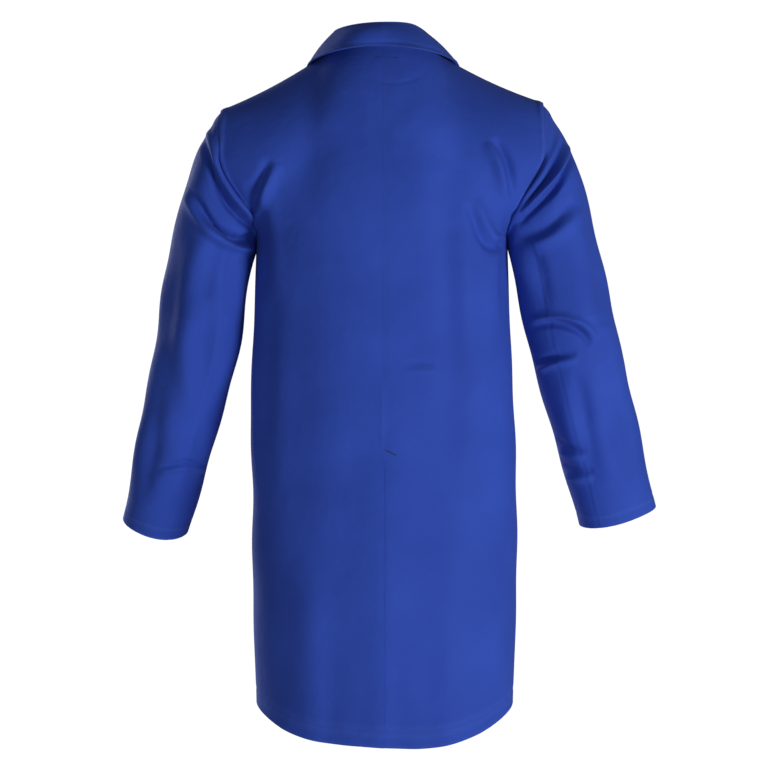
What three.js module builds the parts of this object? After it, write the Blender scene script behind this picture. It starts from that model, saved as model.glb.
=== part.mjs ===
// A men's laboratory coat in its worn shape: shell panels, set-in two-piece sleeves, a notched
// collar, press-stud front, three patch pockets and a centre-back vent.
// Millimetres. +Z up, -Y to the wearer's front, +X to the wearer's left. The coat is drawn round
// the middle of the neck opening, and then moved so that its hang loop is at the origin.
import * as THREE from "three";

// ---------------------------------------------------------------- driving dimensions
const CLOTH = 1.5; // solid thickness that stands for one layer of cloth
const SEAM_GAP = 0.5; // each panel stops this far short of a seam
const GIRTH_POWER = 2.4; // superellipse power of the body's sections

const HEM_BACK_Z = -982;
const HEM_FRONT_Z = -974;
const HEM_SIDE_Z = -940;
const ARMPIT_Z = -255;
const SIDE_Y = -8; // the side seams run in this plane
// Body sections, hem to armpit: [height, half width, depth behind SIDE_Y, depth in front of it].
const BODY_SECTIONS = [
  [-990, 190, 146, 142],
  [-860, 196, 143, 140],
  [-700, 199, 139, 138],
  [-540, 196, 135, 137],
  [-390, 189, 133, 138],
  [ARMPIT_Z, 185, 133, 140],
];
const NAPE = [0, 66, 20];
const NECK_POINT = [82, 4, 14];
const SHOULDER_POINT = [236, 6, -58];
const ARMPIT = [185, SIDE_Y, ARMPIT_Z];
const ARMHOLE_BACK_DEPTH = 72;
const ARMHOLE_FRONT_DEPTH = 66;
const NECK_SHARE = 0.36; // share of the back's top edge that the neckline takes

const FOLD_X = 88; // the fronts swing open about upright lines at this distance from the centre
const OVERLAP = 20; // how far each front reaches past the centre
const BREAK_Z = -258; // where the lapels start to roll
const ROLL_TOP = [64, -10, 34]; // where the lapel's roll line meets the collar
const LAPEL_TIP = [124, -66]; // x and z of the lapel's point
const FRONT_PROUD = 6; // the left front lies this far out over the right one

const SNAP_COUNT = 5;
const SNAP_TOP_Z = -285;
const SNAP_PITCH = 125;
const SNAP_RADIUS = 7.5;

const VENT_TOP_Z = -570;
const VENT_HEM_X = 112; // the vent's corner folds along a line to this point of the hem
const VENT_UNDERLAP = 40;

// Sleeves, from the armhole down: middle of each ring [x, y, z], half widths across and deep.
const SLEEVES = [
  {
    name: "left",
    side: 1,
    crown: [257, -2, -310, 62, 70],
    elbow: [271, -6, -410, 62, 68],
    cuff: [344, -100, -684, 51, 56],
  },
  {
    name: "right",
    side: -1,
    crown: [261, -2, -310, 66, 70],
    elbow: [284, -6, -410, 66, 66],
    cuff: [352, -60, -669, 59, 50],
  },
];
const SLEEVE_BULGE = 15; // fullness of the sleeve head over the shoulder
const TOP_SEAM_TURN = 0.32; // share of the half turn at which the sleeve's two seams run
const CUFF_HEM = 28;

// Collar: its roll line and its outer edge, from the centre back to the front end.
const COLLAR_ROLL = [
  [0, 62, 50],
  [42, 54, 49],
  [73, 14, 46],
  [72, -8, 38],
  [64, -16, 30],
];
const COLLAR_EDGE = [
  [0, 86, 13],
  [62, 76, 10],
  [114, 14, 3],
  [122, -40, -22],
  [116, -84, -58],
];
const HANG_POINT = [0, 43, 14]; // top of the hang loop's tape
const LOOP_SPAN = 60;

const CLOTH_BLUE = new THREE.Color(0.03, 0.075, 0.39);
const FINISHES = {
  cloth: new THREE.MeshStandardMaterial({ color: CLOTH_BLUE, roughness: 0.8, metalness: 0 }),
  metal: new THREE.MeshStandardMaterial({ color: 0xb9bcc2, roughness: 0.3, metalness: 1 }),
  label: new THREE.MeshStandardMaterial({ color: 0xf4f4f0, roughness: 0.7, metalness: 0 }),
};

// ---------------------------------------------------------------- small helpers
const lerp = (a, b, t) => a + (b - a) * t;
const clamp01 = (t) => Math.min(1, Math.max(0, t));
const smooth = (t) => clamp01(t) ** 2 * (3 - 2 * clamp01(t));
const vec = (p) => new THREE.Vector3(...p);
const mix = (a, b, t) => a.clone().lerp(b, t);
const bezier = (...points) => new THREE.CubicBezierCurve3(...points.map(vec));

const sectionCurve = (column) =>
  new THREE.CatmullRomCurve3(BODY_SECTIONS.map((s) => new THREE.Vector3(s[column], s[0], 0)));
const [WIDTHS, BACK_DEPTHS, FRONT_DEPTHS] = [1, 2, 3].map(sectionCurve);
const sectionAt = (curve, z) => {
  const bottom = BODY_SECTIONS[0][0];
  let [low, high] = [0, 1];
  for (let i = 0; i < 24; i++) {
    const middle = (low + high) / 2;
    if (curve.getPoint(middle).y < z) low = middle;
    else high = middle;
  }
  return curve.getPoint(clamp01(z <= bottom ? 0 : (low + high) / 2)).x;
};

const group = new THREE.Group();
const coat = new THREE.Group();
group.add(coat);

// A point of the body below the armpits: share runs 0 at the centre to 1 at the side seam.
function bodyPoint(side, front, share, z) {
  const angle = (share * Math.PI) / 2;
  const power = 2 / GIRTH_POWER;
  const depth = front ? -sectionAt(FRONT_DEPTHS, z) : sectionAt(BACK_DEPTHS, z);
  return new THREE.Vector3(
    side * sectionAt(WIDTHS, z) * Math.sin(angle) ** power,
    SIDE_Y + depth * Math.max(0, Math.cos(angle)) ** power,
    z,
  );
}
const shareAtX = (x, z) =>
  (2 / Math.PI) * Math.asin((x / sectionAt(WIDTHS, z)) ** (GIRTH_POWER / 2));
const hemZ = (front, share) =>
  lerp(front ? HEM_FRONT_Z : HEM_BACK_Z, HEM_SIDE_Z, Math.sin((share * Math.PI) / 2) ** 3);

// The armhole edge, from the armpit (turn 0) to the shoulder point (turn 1), front or back half.
function armholePoint(side, front, turn) {
  const rise = (1 - Math.cos(Math.PI * turn)) / 2;
  const hollow = Math.sin((Math.PI / 2) * Math.min(1, rise / 0.62)) ** 2;
  const depth = front ? -ARMHOLE_FRONT_DEPTH : ARMHOLE_BACK_DEPTH;
  return new THREE.Vector3(
    side * (lerp(ARMPIT[0], SHOULDER_POINT[0], hollow) - (front ? 8 : 0) * Math.sin(Math.PI * turn)),
    lerp(ARMPIT[1], SHOULDER_POINT[1], rise) + depth * Math.sin(Math.PI * turn),
    lerp(ARMPIT[2], SHOULDER_POINT[2], rise),
  );
}

// A four-sided patch from its edge curves: left and right run up, bottom and top run across.
function coons(left, right, bottom, top) {
  const [c00, c10, c01, c11] = [left(0), right(0), left(1), right(1)];
  return (u, v) => {
    const ruled = mix(left(v), right(v), u).add(mix(bottom(u), top(u), v));
    return ruled.sub(mix(mix(c00, c10, u), mix(c01, c11, u), v));
  };
}

function neckline(side, angle) {
  const front = angle > Math.PI / 2;
  return new THREE.Vector3(
    side * NECK_POINT[0] * Math.sin(angle),
    NECK_POINT[1] + (front ? 88 : NAPE[1] - NECK_POINT[1]) * Math.cos(angle),
    lerp(NAPE[2], NECK_POINT[2], smooth(angle / (Math.PI / 2))) + (front ? 46 * Math.cos(angle) : 0),
  );
}
const shoulderSeam = (side, t) =>
  new THREE.Vector3(
    side * lerp(NECK_POINT[0], SHOULDER_POINT[0], t),
    lerp(NECK_POINT[1], SHOULDER_POINT[1], t),
    lerp(NECK_POINT[2], SHOULDER_POINT[2], t) - 5 * Math.sin(Math.PI * t),
  );

// The back: across runs centre to side, up runs hem (0) through armpit (0.5) to the top (1).
function backSurface(side) {
  const centre = bezier(
    [0, SIDE_Y + sectionAt(BACK_DEPTHS, ARMPIT_Z), ARMPIT_Z],
    [0, 132, -165],
    [0, 104, -50],
    NAPE,
  );
  const top = (u) =>
    u < NECK_SHARE
      ? neckline(side, (u / NECK_SHARE) * (Math.PI / 2))
      : shoulderSeam(side, (u - NECK_SHARE) / (1 - NECK_SHARE));
  const upper = coons(
    (v) => centre.getPoint(v),
    (v) => armholePoint(side, false, v),
    (u) => bodyPoint(side, false, u, ARMPIT_Z),
    top,
  );
  return (u, v) => {
    if (v <= 0.5) return bodyPoint(side, false, u, lerp(hemZ(false, u), ARMPIT_Z, v * 2));
    return upper(u, v * 2 - 1);
  };
}

// The side of the front, from the fold line to the side seam and armhole.
function sideFrontSurface(side) {
  const foldShare = (z) => shareAtX(FOLD_X, z);
  const foldPoint = bodyPoint(side, true, foldShare(ARMPIT_Z), ARMPIT_Z);
  const column = bezier(
    foldPoint.toArray(),
    [side * FOLD_X, foldPoint.y - 8, -165],
    [side * 86, -112, 2],
    [side * NECK_POINT[0], NECK_POINT[1], NECK_POINT[2]],
  );
  const upper = coons(
    (v) => column.getPoint(v),
    (v) => armholePoint(side, true, v),
    (u) => bodyPoint(side, true, lerp(foldShare(ARMPIT_Z), 1, u), ARMPIT_Z),
    (u) => shoulderSeam(side, u),
  );
  return (u, v) => {
    if (v > 0.5) return upper(u, v * 2 - 1);
    const z = lerp(hemZ(true, lerp(foldShare(HEM_FRONT_Z), 1, u)), ARMPIT_Z, v * 2);
    return bodyPoint(side, true, lerp(foldShare(z), 1, u), z);
  };
}

// How far out the front edge lies: left over right, and level with the body at the fold line.
const proudAt = (side, share) => (side > 0 ? FRONT_PROUD : -CLOTH) * smooth(share * 1.4);

// The front edge below the break: across runs from the fold line (0) past the centre (1).
function edgeSurface(side) {
  return (u, v) => {
    const x = lerp(FOLD_X, -OVERLAP, u);
    const z = lerp(HEM_FRONT_Z, BREAK_Z, v);
    const p = bodyPoint(x < 0 ? -1 : 1, true, shareAtX(Math.abs(x), z), z);
    return new THREE.Vector3(side * x, p.y - proudAt(side, u), z);
  };
}

// The front above the break, between the fold line and the lapel's roll line.
function upperFrontSurface(side) {
  const edge = edgeSurface(side);
  const lateral = sideFrontSurface(side);
  const start = edge(1, 1);
  const roll = bezier(
    start.toArray(),
    [start.x + side * 28, start.y - 4, -160],
    [side * (ROLL_TOP[0] - 18), -78, -40],
    [side * ROLL_TOP[0], ROLL_TOP[1], ROLL_TOP[2] - 26],
  );
  const bottom = (u) => edge(u, 1);
  return coons(
    (v) => lateral(0, 0.5 + v / 2).setZ(lerp(BREAK_Z, lateral(0, 0.5 + v / 2).z, Math.min(1, v * 9))),
    (v) => roll.getPoint(v),
    bottom,
    (u) => mix(vec(NECK_POINT.map((n, i) => (i ? n : side * n))), roll.getPoint(1), u),
  );
}

// ---------------------------------------------------------------- solids
// A closed sheet between two offsets (positive is outwards) of a surface of across and up.
function sheetGeometry(surface, options) {
  const { across = [0, 1], up = [0, 1], cells, offsets, outward } = options;
  const [nu, nv] = cells;
  const at = (i, j) => surface(lerp(...across, i / nu), lerp(...up, j / nv));
  const step = 1e-3;
  const normalAt = (i, j) => {
    const [u, v] = [lerp(...across, i / nu), lerp(...up, j / nv)];
    const inset = (t) => Math.min(1 - step, Math.max(step, t));
    const du = surface(inset(u) + step, inset(v)).sub(surface(inset(u) - step, inset(v)));
    const dv = surface(inset(u), inset(v) + step).sub(surface(inset(u), inset(v) - step));
    return du.cross(dv).normalize().multiplyScalar(outward);
  };
  const positions = [];
  for (const offset of offsets)
    for (let j = 0; j <= nv; j++)
      for (let i = 0; i <= nu; i++) {
        const lift = typeof offset === "function" ? offset(i / nu, j / nv) : offset;
        positions.push(...at(i, j).addScaledVector(normalAt(i, j), lift).toArray());
      }
  const layer = (nu + 1) * (nv + 1);
  const id = (i, j, k) => k * layer + j * (nu + 1) + i;
  const index = [];
  const quad = (a, b, c, d) => index.push(a, b, c, a, c, d);
  for (let j = 0; j < nv; j++)
    for (let i = 0; i < nu; i++) {
      quad(id(i, j, 0), id(i, j + 1, 0), id(i + 1, j + 1, 0), id(i + 1, j, 0));
      quad(id(i, j, 1), id(i + 1, j, 1), id(i + 1, j + 1, 1), id(i, j + 1, 1));
    }
  for (let i = 0; i < nu; i++) {
    quad(id(i, 0, 0), id(i + 1, 0, 0), id(i + 1, 0, 1), id(i, 0, 1));
    quad(id(i, nv, 0), id(i, nv, 1), id(i + 1, nv, 1), id(i + 1, nv, 0));
  }
  for (let j = 0; j < nv; j++) {
    quad(id(0, j, 0), id(0, j, 1), id(0, j + 1, 1), id(0, j + 1, 0));
    quad(id(nu, j, 0), id(nu, j + 1, 0), id(nu, j + 1, 1), id(nu, j, 1));
  }
  const geometry = new THREE.BufferGeometry();
  geometry.setAttribute("position", new THREE.Float32BufferAttribute(positions, 3));
  geometry.setIndex(outward > 0 ? index : flipped(index));
  return geometry;
}
function flipped(index) {
  const out = [];
  for (let i = 0; i < index.length; i += 3) out.push(index[i], index[i + 2], index[i + 1]);
  return out;
}

function addMesh(name, geometry, finish = FINISHES.cloth) {
  geometry.computeVertexNormals();
  const mesh = new THREE.Mesh(geometry, finish);
  mesh.name = name;
  coat.add(mesh);
  return mesh;
}
const addSheet = (name, surface, options, finish) =>
  addMesh(name, sheetGeometry(surface, options), finish);

const layer = (distance, thickness = CLOTH) => [distance - thickness, distance];
const sides = [
  ["left", 1],
  ["right", -1],
];

// ---------------------------------------------------------------- back, with its vent
function ventShare(z) {
  // share of the back's width where the vent's slanting fold line crosses this height
  const x = VENT_HEM_X * clamp01((VENT_TOP_Z - z) / (VENT_TOP_Z - HEM_BACK_Z));
  return shareAtX(x, z);
}

function addBack() {
  for (const [name, side] of sides) {
    const whole = backSurface(side);
    const girth = 290;
    const trim = SEAM_GAP / girth;
    const options = { outward: -side, offsets: layer(0) };
    if (side < 0) {
      addSheet(`${name}_back_panel`, whole, {
        ...options,
        across: [trim, 1 - trim],
        up: [0, 1 - trim],
        cells: [9, 20],
      });
      continue;
    }
    // the left half stops at the vent's fold line, below the top of the vent
    const gap = 2 * trim;
    const split = (u, v) => {
      if (v > 0.5) return whole(lerp(trim, 1, u), v);
      const z = lerp(hemZ(false, u), ARMPIT_Z, v * 2);
      const start = z < VENT_TOP_Z ? ventShare(z) + gap : trim;
      const share = lerp(start, 1, u);
      return bodyPoint(side, false, share, lerp(hemZ(false, share), ARMPIT_Z, v * 2));
    };
    addSheet(`${name}_back_panel`, split, {
      ...options,
      across: [0, 1 - trim],
      up: [0, 1 - trim],
      cells: [9, 20],
    });
    const corner = (u, v) => {
      const z = lerp(HEM_BACK_Z, VENT_TOP_Z - 4, v);
      const foldX = VENT_HEM_X * ((VENT_TOP_Z - z) / (VENT_TOP_Z - HEM_BACK_Z));
      const x = lerp(-2, Math.max(2, foldX - 1.5), u);
      const share = Math.max(shareAtX(Math.abs(x), z), 1e-4);
      const p = bodyPoint(1, false, share, z + (hemZ(false, share) - HEM_BACK_Z) * (1 - v));
      return new THREE.Vector3(x, p.y, p.z);
    };
    // the flap lies over the right half at the centre, and its narrow top stands a little proud
    const ventProud = (u, v) => 2.6 * (1 - smooth(u * 1.2)) + 1.7 * smooth((v - 0.8) * 5) * smooth(u * 1.2);
    addSheet("vent_flap", corner, {
      across: [0, 1],
      up: [0, 1],
      cells: [4, 8],
      outward: -1,
      offsets: [(u, v) => ventProud(u, v) - CLOTH, ventProud],
    });
  }
  const underlap = (u, v) => {
    const z = lerp(HEM_BACK_Z + 6, VENT_TOP_Z, v);
    const x = lerp(1.2, VENT_UNDERLAP, u);
    const p = bodyPoint(1, false, shareAtX(x, z), z);
    return new THREE.Vector3(x, p.y, z);
  };
  addSheet("vent_underlap", underlap, { cells: [2, 8], outward: -1, offsets: layer(-2.6) });
}

addBack();

// ---------------------------------------------------------------- fronts
// The depth y of the front at an x and z, from samples of the panels that lie there.
function depthField(surfaces) {
  const steps = 56;
  const samples = [];
  for (const surface of surfaces)
    for (let i = 0; i <= steps; i++)
      for (let j = 0; j <= steps; j++) samples.push(surface(i / steps, j / steps));
  return (x, z) => {
    let [total, weights] = [0, 0];
    for (const p of samples) {
      const near = 1 / ((p.x - x) ** 2 + (p.z - z) ** 2 + 1) ** 3;
      total += p.y * near;
      weights += near;
    }
    return total / weights;
  };
}

function addFronts() {
  for (const [name, side] of sides) {
    const trim = SEAM_GAP / 200;
    const lateral = sideFrontSurface(side);
    const upper = upperFrontSurface(side);
    addSheet(`${name}_side_front`, lateral, {
      across: [2 * trim, 1 - trim],
      up: [0, 1 - trim],
      cells: [7, 20],
      outward: side,
      offsets: layer(0),
    });
    addSheet(`${name}_front_upper`, upper, {
      across: [12 * trim, 1],
      up: [0.012, 0.97],
      cells: [5, 10],
      outward: -side,
      offsets: layer(0),
    });
    const edge = edgeSurface(side);
    addSheet(`${name}_front_edge`, edge, {
      across: [0.008, 1],
      up: [0, 0.997],
      cells: [4, 14],
      outward: -side,
      offsets: layer(0),
    });
    addSheet(`${name}_front_facing`, edge, {
      across: [0.3, 0.985],
      up: [0.012, 0.99],
      cells: [3, 12],
      outward: -side,
      offsets: layer(-CLOTH - 0.4, 1.2),
    });
    addLapel(name, side, lateral, upper);
  }
}

// The lapel's leaf: across runs from the roll line to the outer edge, up from the break to the gorge.
function addLapel(name, side, lateral, upper) {
  const depth = depthField([lateral, upper]);
  const clearance = (v) => 2.4 + 12 * v ** 1.3;
  const rollAt = (v) => upper(1, lerp(0.08, 0.86, v));
  const outerAt = (v) => {
    const start = rollAt(0);
    const bow = 14 * Math.sin(Math.PI * v);
    return new THREE.Vector3(
      lerp(start.x, side * LAPEL_TIP[0], v) + side * bow,
      0,
      lerp(start.z, LAPEL_TIP[1], v),
    );
  };
  const leaf = (u, v) => {
    const roll = rollAt(v);
    const outer = outerAt(v);
    const [x, z] = [lerp(roll.x + side * 3, outer.x + side * 3, u), lerp(roll.z, outer.z, u)];
    const lying = depth(x, z) - clearance(v);
    return new THREE.Vector3(x, lerp(roll.y - clearance(v), lying, smooth(u * 2.5)), z);
  };
  addSheet(`${name}_lapel`, leaf, {
    across: [0, 1],
    up: [0.16, 0.97],
    cells: [4, 9],
    outward: side,
    offsets: layer(0),
  });
}
addFronts();

// ---------------------------------------------------------------- pockets
// A patch pocket bellies off its panel towards an open mouth, with a turned hem along the mouth.
function addPocket(name, side, across, up, belly) {
  const surface = sideFrontSurface(side);
  const middle = (u, v) => 1.7 + belly * Math.sin(Math.PI * u) ** 1.4 * smooth(v * 1.1);
  const options = { across, up, outward: side };
  addSheet(name, surface, {
    ...options,
    cells: [6, 7],
    offsets: [(u, v) => middle(u, v), (u, v) => middle(u, v) + CLOTH],
  });
  const hemUp = [lerp(...up, 0.86), up[1]];
  const outer = (u, v) => middle(u, lerp(0.86, 1, v)) + CLOTH + 1.1;
  addSheet(`${name}_hem`, surface, {
    across: [lerp(...across, 0.01), lerp(...across, 0.99)],
    up: hemUp,
    outward: side,
    cells: [6, 2],
    offsets: [outer, (u, v) => outer(u, v) + 0.8],
  });
}
addPocket("chest_pocket", 1, [0.06, 0.62], [0.515, 0.69], 9);
addPocket("left_hip_pocket", 1, [0.07, 0.9], [0.17, 0.316], 14);
addPocket("right_hip_pocket", -1, [0.07, 0.9], [0.17, 0.316], 14);

// ---------------------------------------------------------------- collar
const mirrored = (points) => [...points.slice(1).reverse().map(([x, y, z]) => [-x, y, z]), ...points];
const collarRoll = new THREE.CatmullRomCurve3(mirrored(COLLAR_ROLL).map(vec));
const collarEdge = new THREE.CatmullRomCurve3(mirrored(COLLAR_EDGE).map(vec));

function addCollar() {
  const chest = depthField([sideFrontSurface(1), upperFrontSurface(1)]);
  const fall = (u, v) => {
    const [roll, edge] = [collarRoll.getPoint(u), collarEdge.getPoint(u)];
    const swell = 5 * Math.sin(Math.PI * v);
    const outward = new THREE.Vector3(edge.x, edge.y, 0).normalize();
    const p = mix(edge, roll, v).addScaledVector(outward, swell);
    p.z += swell;
    const lying = smooth((12 - p.y) / 30) * (1 - v) ** 0.5;
    p.y = Math.min(p.y, lerp(p.y, chest(Math.abs(p.x), p.z) - 17, lying));
    return p;
  };
  const across = [0.004, 0.996];
  addSheet("top_collar", fall, { across, cells: [22, 4], outward: -1, offsets: layer(0) });
  addSheet("under_collar", fall, {
    across: [0.2, 0.8],
    up: [0.02, 0.97],
    cells: [20, 4],
    outward: -1,
    offsets: layer(-CLOTH - 1.4, 1.2),
  });
  const stand = (u, v) => {
    const angle = lerp(-0.5, 0.5, u) * Math.PI;
    const base = neckline(Math.sign(angle) || 1, Math.abs(angle));
    const roll = collarRoll.getPoint(lerp(0.24, 0.76, u));
    const inner = new THREE.Vector3(roll.x * 0.93, roll.y - 4 * Math.cos(angle), roll.z - 5);
    return mix(base.add(new THREE.Vector3(0, 0, 3)), inner, v);
  };
  addSheet("collar_stand", stand, { cells: [22, 3], outward: -1, offsets: layer(0) });
}
addCollar();

function addNeckInside() {
  const half = backSurface(1);
  const inside = (u, v) => {
    const p = half(Math.abs(u) * NECK_SHARE * 0.5, v);
    return new THREE.Vector3(Math.sign(u) * p.x, p.y, p.z);
  };
  const moon = (u, v) => inside(u, lerp(0.975 - 0.11 * (1 - u * u), 0.99, v));
  addSheet("back_neck_facing", moon, {
    across: [-1, 1],
    cells: [12, 4],
    outward: -1,
    offsets: layer(-CLOTH - 5, 1.2),
  });
  const label = (u, v) => inside(u * 0.33, lerp(0.945, 0.968, v));
  addSheet("size_label", label, {
    across: [-1, 1],
    cells: [4, 1],
    outward: -1,
    offsets: layer(-CLOTH - 7, 0.6),
  }, FINISHES.label);
  const tape = new THREE.CatmullRomCurve3([
    [-LOOP_SPAN / 2, 57, 4],
    [-LOOP_SPAN / 3, 47, HANG_POINT[2] - 3],
    HANG_POINT,
    [LOOP_SPAN / 3, 47, HANG_POINT[2] - 3],
    [LOOP_SPAN / 2, 57, 4],
  ].map(vec));
  const section = new THREE.Shape([
    new THREE.Vector2(-0.6, -3.5),
    new THREE.Vector2(0.6, -3.5),
    new THREE.Vector2(0.6, 3.5),
    new THREE.Vector2(-0.6, 3.5),
  ]);
  addMesh("hang_loop", new THREE.ExtrudeGeometry(section, { steps: 16, extrudePath: tape }));
}
addNeckInside();

// ---------------------------------------------------------------- sleeves
// A ring of the sleeve: turn runs 0 at the underarm, over the back, 1 at the top, to 2 at the underarm.
function ringPoint(side, [x, y, z, across, deep], turn, lean) {
  const angle = turn * Math.PI;
  const p = new THREE.Vector3(-side * across * Math.cos(angle), deep * Math.sin(angle), 0);
  return p.applyQuaternion(lean).add(new THREE.Vector3(x * side, y, z));
}

function sleeveSurface({ side, crown, elbow, cuff }) {
  const down = new THREE.Vector3(0, 0, -1);
  const direction = (from, to) =>
    new THREE.Vector3(side * (to[0] - from[0]), to[1] - from[1], to[2] - from[2]).normalize();
  const leanTo = (d) => new THREE.Quaternion().setFromUnitVectors(down, d);
  const [upper, fore] = [direction(crown, elbow), direction(elbow, cuff)];
  const half = elbow.map((n, i) => lerp(n, cuff[i], 0.5));
  const centre = new THREE.Vector3(side * 215, 0, -150);
  const meridian = (turn) => {
    const front = turn > 1;
    const hole = armholePoint(side, front, front ? 2 - turn : turn);
    const crownPoint = ringPoint(side, crown, turn, leanTo(upper));
    const fullness = Math.sin((turn * Math.PI) / 2) ** 2;
    const out = new THREE.Vector3(side, 0, 0.25).normalize();
    hole.add(hole.clone().sub(centre).normalize().setX(side * 3));
    const cap = mix(hole, crownPoint, 0.36).addScaledVector(out, SLEEVE_BULGE * fullness);
    const bend = new THREE.Quaternion().slerpQuaternions(leanTo(upper), leanTo(fore), 0.5);
    return new THREE.CatmullRomCurve3([
      hole,
      cap,
      crownPoint,
      ringPoint(side, elbow, turn, bend),
      ringPoint(side, half, turn, leanTo(fore)),
      ringPoint(side, cuff, turn, leanTo(fore)),
    ]);
  };
  const cache = new Map();
  return (u, v) => {
    const turn = ((u % 2) + 2) % 2;
    const key = Math.round(turn * 1e5);
    if (!cache.has(key)) cache.set(key, meridian(turn));
    return cache.get(key).getPoint(v);
  };
}

// Lengthwise stretches of the sleeve between its rings, as shares of the six-ring meridian.
const SLEEVE_STRETCHES = { head: [0, 0.3], upper: [0.303, 0.53], bend: [0.533, 0.667], fore: [0.67, 0.94] };

function addSleeve(sleeve) {
  const { name, side } = sleeve;
  const surface = sleeveSurface(sleeve);
  const tube = (part, up, cells, offsets) => {
    const solid = ringSolid(surface, up, cells, offsets, side);
    addMesh(`${name}_${part}`, solid);
  };
  tube("sleeve_head", SLEEVE_STRETCHES.head, [24, 5], layer(0));
  for (const [stretch, up, rows] of [
    ["upper", SLEEVE_STRETCHES.upper, 4],
    ["fore", SLEEVE_STRETCHES.fore, 5],
  ]) {
    const seam = TOP_SEAM_TURN;
    const gap = 0.004;
    const panels = { top: [seam + gap, 2 - seam - gap], under: [-seam + gap, seam - gap] };
    for (const [panel, across] of Object.entries(panels))
      addSheet(`${name}_${stretch}_sleeve_${panel}`, surface, {
        across,
        up,
        cells: [panel === "top" ? 18 : 8, rows + 1],
        outward: side,
        offsets: layer(0),
      });
  }
  tube("sleeve_bend", SLEEVE_STRETCHES.bend, [24, 3], layer(0));
  tube("cuff_hem", [0.9425, 1], [24, 2], layer(0));
}

// A closed ring of the sleeve, as two concentric skins joined at both rims.
function ringSolid(surface, up, [nu, nv], [inner, outer], side) {
  const positions = [];
  const normal = (u, v) => {
    const [dv, du] = [1e-3, 1e-3];
    const inset = Math.min(1 - dv, Math.max(dv, v));
    const along = surface(u, inset + dv).sub(surface(u, inset - dv));
    const around = surface(u + du, inset).sub(surface(u - du, inset));
    return around.cross(along).normalize().multiplyScalar(side);
  };
  for (const offset of [inner, outer])
    for (let j = 0; j <= nv; j++)
      for (let i = 0; i < nu; i++) {
        const [u, v] = [(2 * i) / nu, lerp(...up, j / nv)];
        positions.push(...surface(u, v).addScaledVector(normal(u, v), offset).toArray());
      }
  const id = (i, j, k) => k * nu * (nv + 1) + j * nu + (i % nu);
  const index = [];
  const quad = (a, b, c, d) => index.push(a, b, c, a, c, d);
  for (let i = 0; i < nu; i++) {
    for (let j = 0; j < nv; j++) {
      quad(id(i, j, 0), id(i, j + 1, 0), id(i + 1, j + 1, 0), id(i + 1, j, 0));
      quad(id(i, j, 1), id(i + 1, j, 1), id(i + 1, j + 1, 1), id(i, j + 1, 1));
    }
    quad(id(i, 0, 0), id(i + 1, 0, 0), id(i + 1, 0, 1), id(i, 0, 1));
    quad(id(i, nv, 0), id(i, nv, 1), id(i + 1, nv, 1), id(i + 1, nv, 0));
  }
  const geometry = new THREE.BufferGeometry();
  geometry.setAttribute("position", new THREE.Float32BufferAttribute(positions, 3));
  geometry.setIndex(side > 0 ? index : flipped(index));
  return geometry;
}
SLEEVES.forEach(addSleeve);

// ---------------------------------------------------------------- press studs
// Cap and socket are riveted to the left front, stud and ring to the right front under it.
function addSnaps() {
  const pieces = [
    ["cap", -FRONT_PROUD - 1.2, 1.6, SNAP_RADIUS],
    ["socket", CLOTH - 3.3, 1.6, SNAP_RADIUS * 0.8],
    ["stud", CLOTH - 1.3, 1.6, SNAP_RADIUS * 0.7],
    ["ring", 3 * CLOTH + 1.3, 1.2, SNAP_RADIUS * 0.85],
  ];
  for (let i = 0; i < SNAP_COUNT; i++) {
    const z = SNAP_TOP_Z - i * SNAP_PITCH;
    const y = bodyPoint(1, true, 1e-4, z).y;
    for (const [piece, offset, height, radius] of pieces) {
      const disc = new THREE.CylinderGeometry(radius, radius, height, 16);
      const mesh = addMesh(`snap_${piece}_${i + 1}`, disc, FINISHES.metal);
      mesh.position.set(0, y + offset, z);
    }
  }
}
addSnaps();

coat.position.set(...HANG_POINT.map((n) => -n));

export default group;
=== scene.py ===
"""A men's royal-blue laboratory coat in its worn shape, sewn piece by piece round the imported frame.

Metres, +Z up, -Y to the wearer's front, +X to the wearer's left. The hang loop is at the origin.
"""

import logging
import math
from dataclasses import dataclass, field
from enum import Enum
from typing import Callable, Sequence

import bpy
import numpy as np
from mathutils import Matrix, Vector


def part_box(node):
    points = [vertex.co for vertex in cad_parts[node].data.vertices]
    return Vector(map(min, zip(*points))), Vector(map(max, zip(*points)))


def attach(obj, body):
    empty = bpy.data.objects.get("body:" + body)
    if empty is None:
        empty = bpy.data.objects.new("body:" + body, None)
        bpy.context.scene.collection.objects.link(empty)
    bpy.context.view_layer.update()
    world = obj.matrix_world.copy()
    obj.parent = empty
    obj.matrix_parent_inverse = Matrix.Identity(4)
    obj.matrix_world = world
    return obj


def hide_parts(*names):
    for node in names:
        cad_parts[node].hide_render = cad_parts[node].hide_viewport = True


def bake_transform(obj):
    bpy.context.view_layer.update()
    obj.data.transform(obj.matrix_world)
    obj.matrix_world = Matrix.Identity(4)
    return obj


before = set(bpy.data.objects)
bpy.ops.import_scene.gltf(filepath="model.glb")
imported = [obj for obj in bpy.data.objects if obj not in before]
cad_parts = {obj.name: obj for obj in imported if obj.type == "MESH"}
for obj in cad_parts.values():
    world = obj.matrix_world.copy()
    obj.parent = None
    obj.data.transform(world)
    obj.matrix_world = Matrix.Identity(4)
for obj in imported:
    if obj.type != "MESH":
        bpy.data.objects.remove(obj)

Array = np.ndarray
Surface = Callable[[Array, Array], Array]  # points at shares across and up
Curve = Callable[[Array], Array]  # points at shares along
Line = tuple[Array, Array]  # shares across and up along a row of stitches
Path3 = Sequence[tuple[float, float, float]]
log = logging.getLogger("coat")

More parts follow.
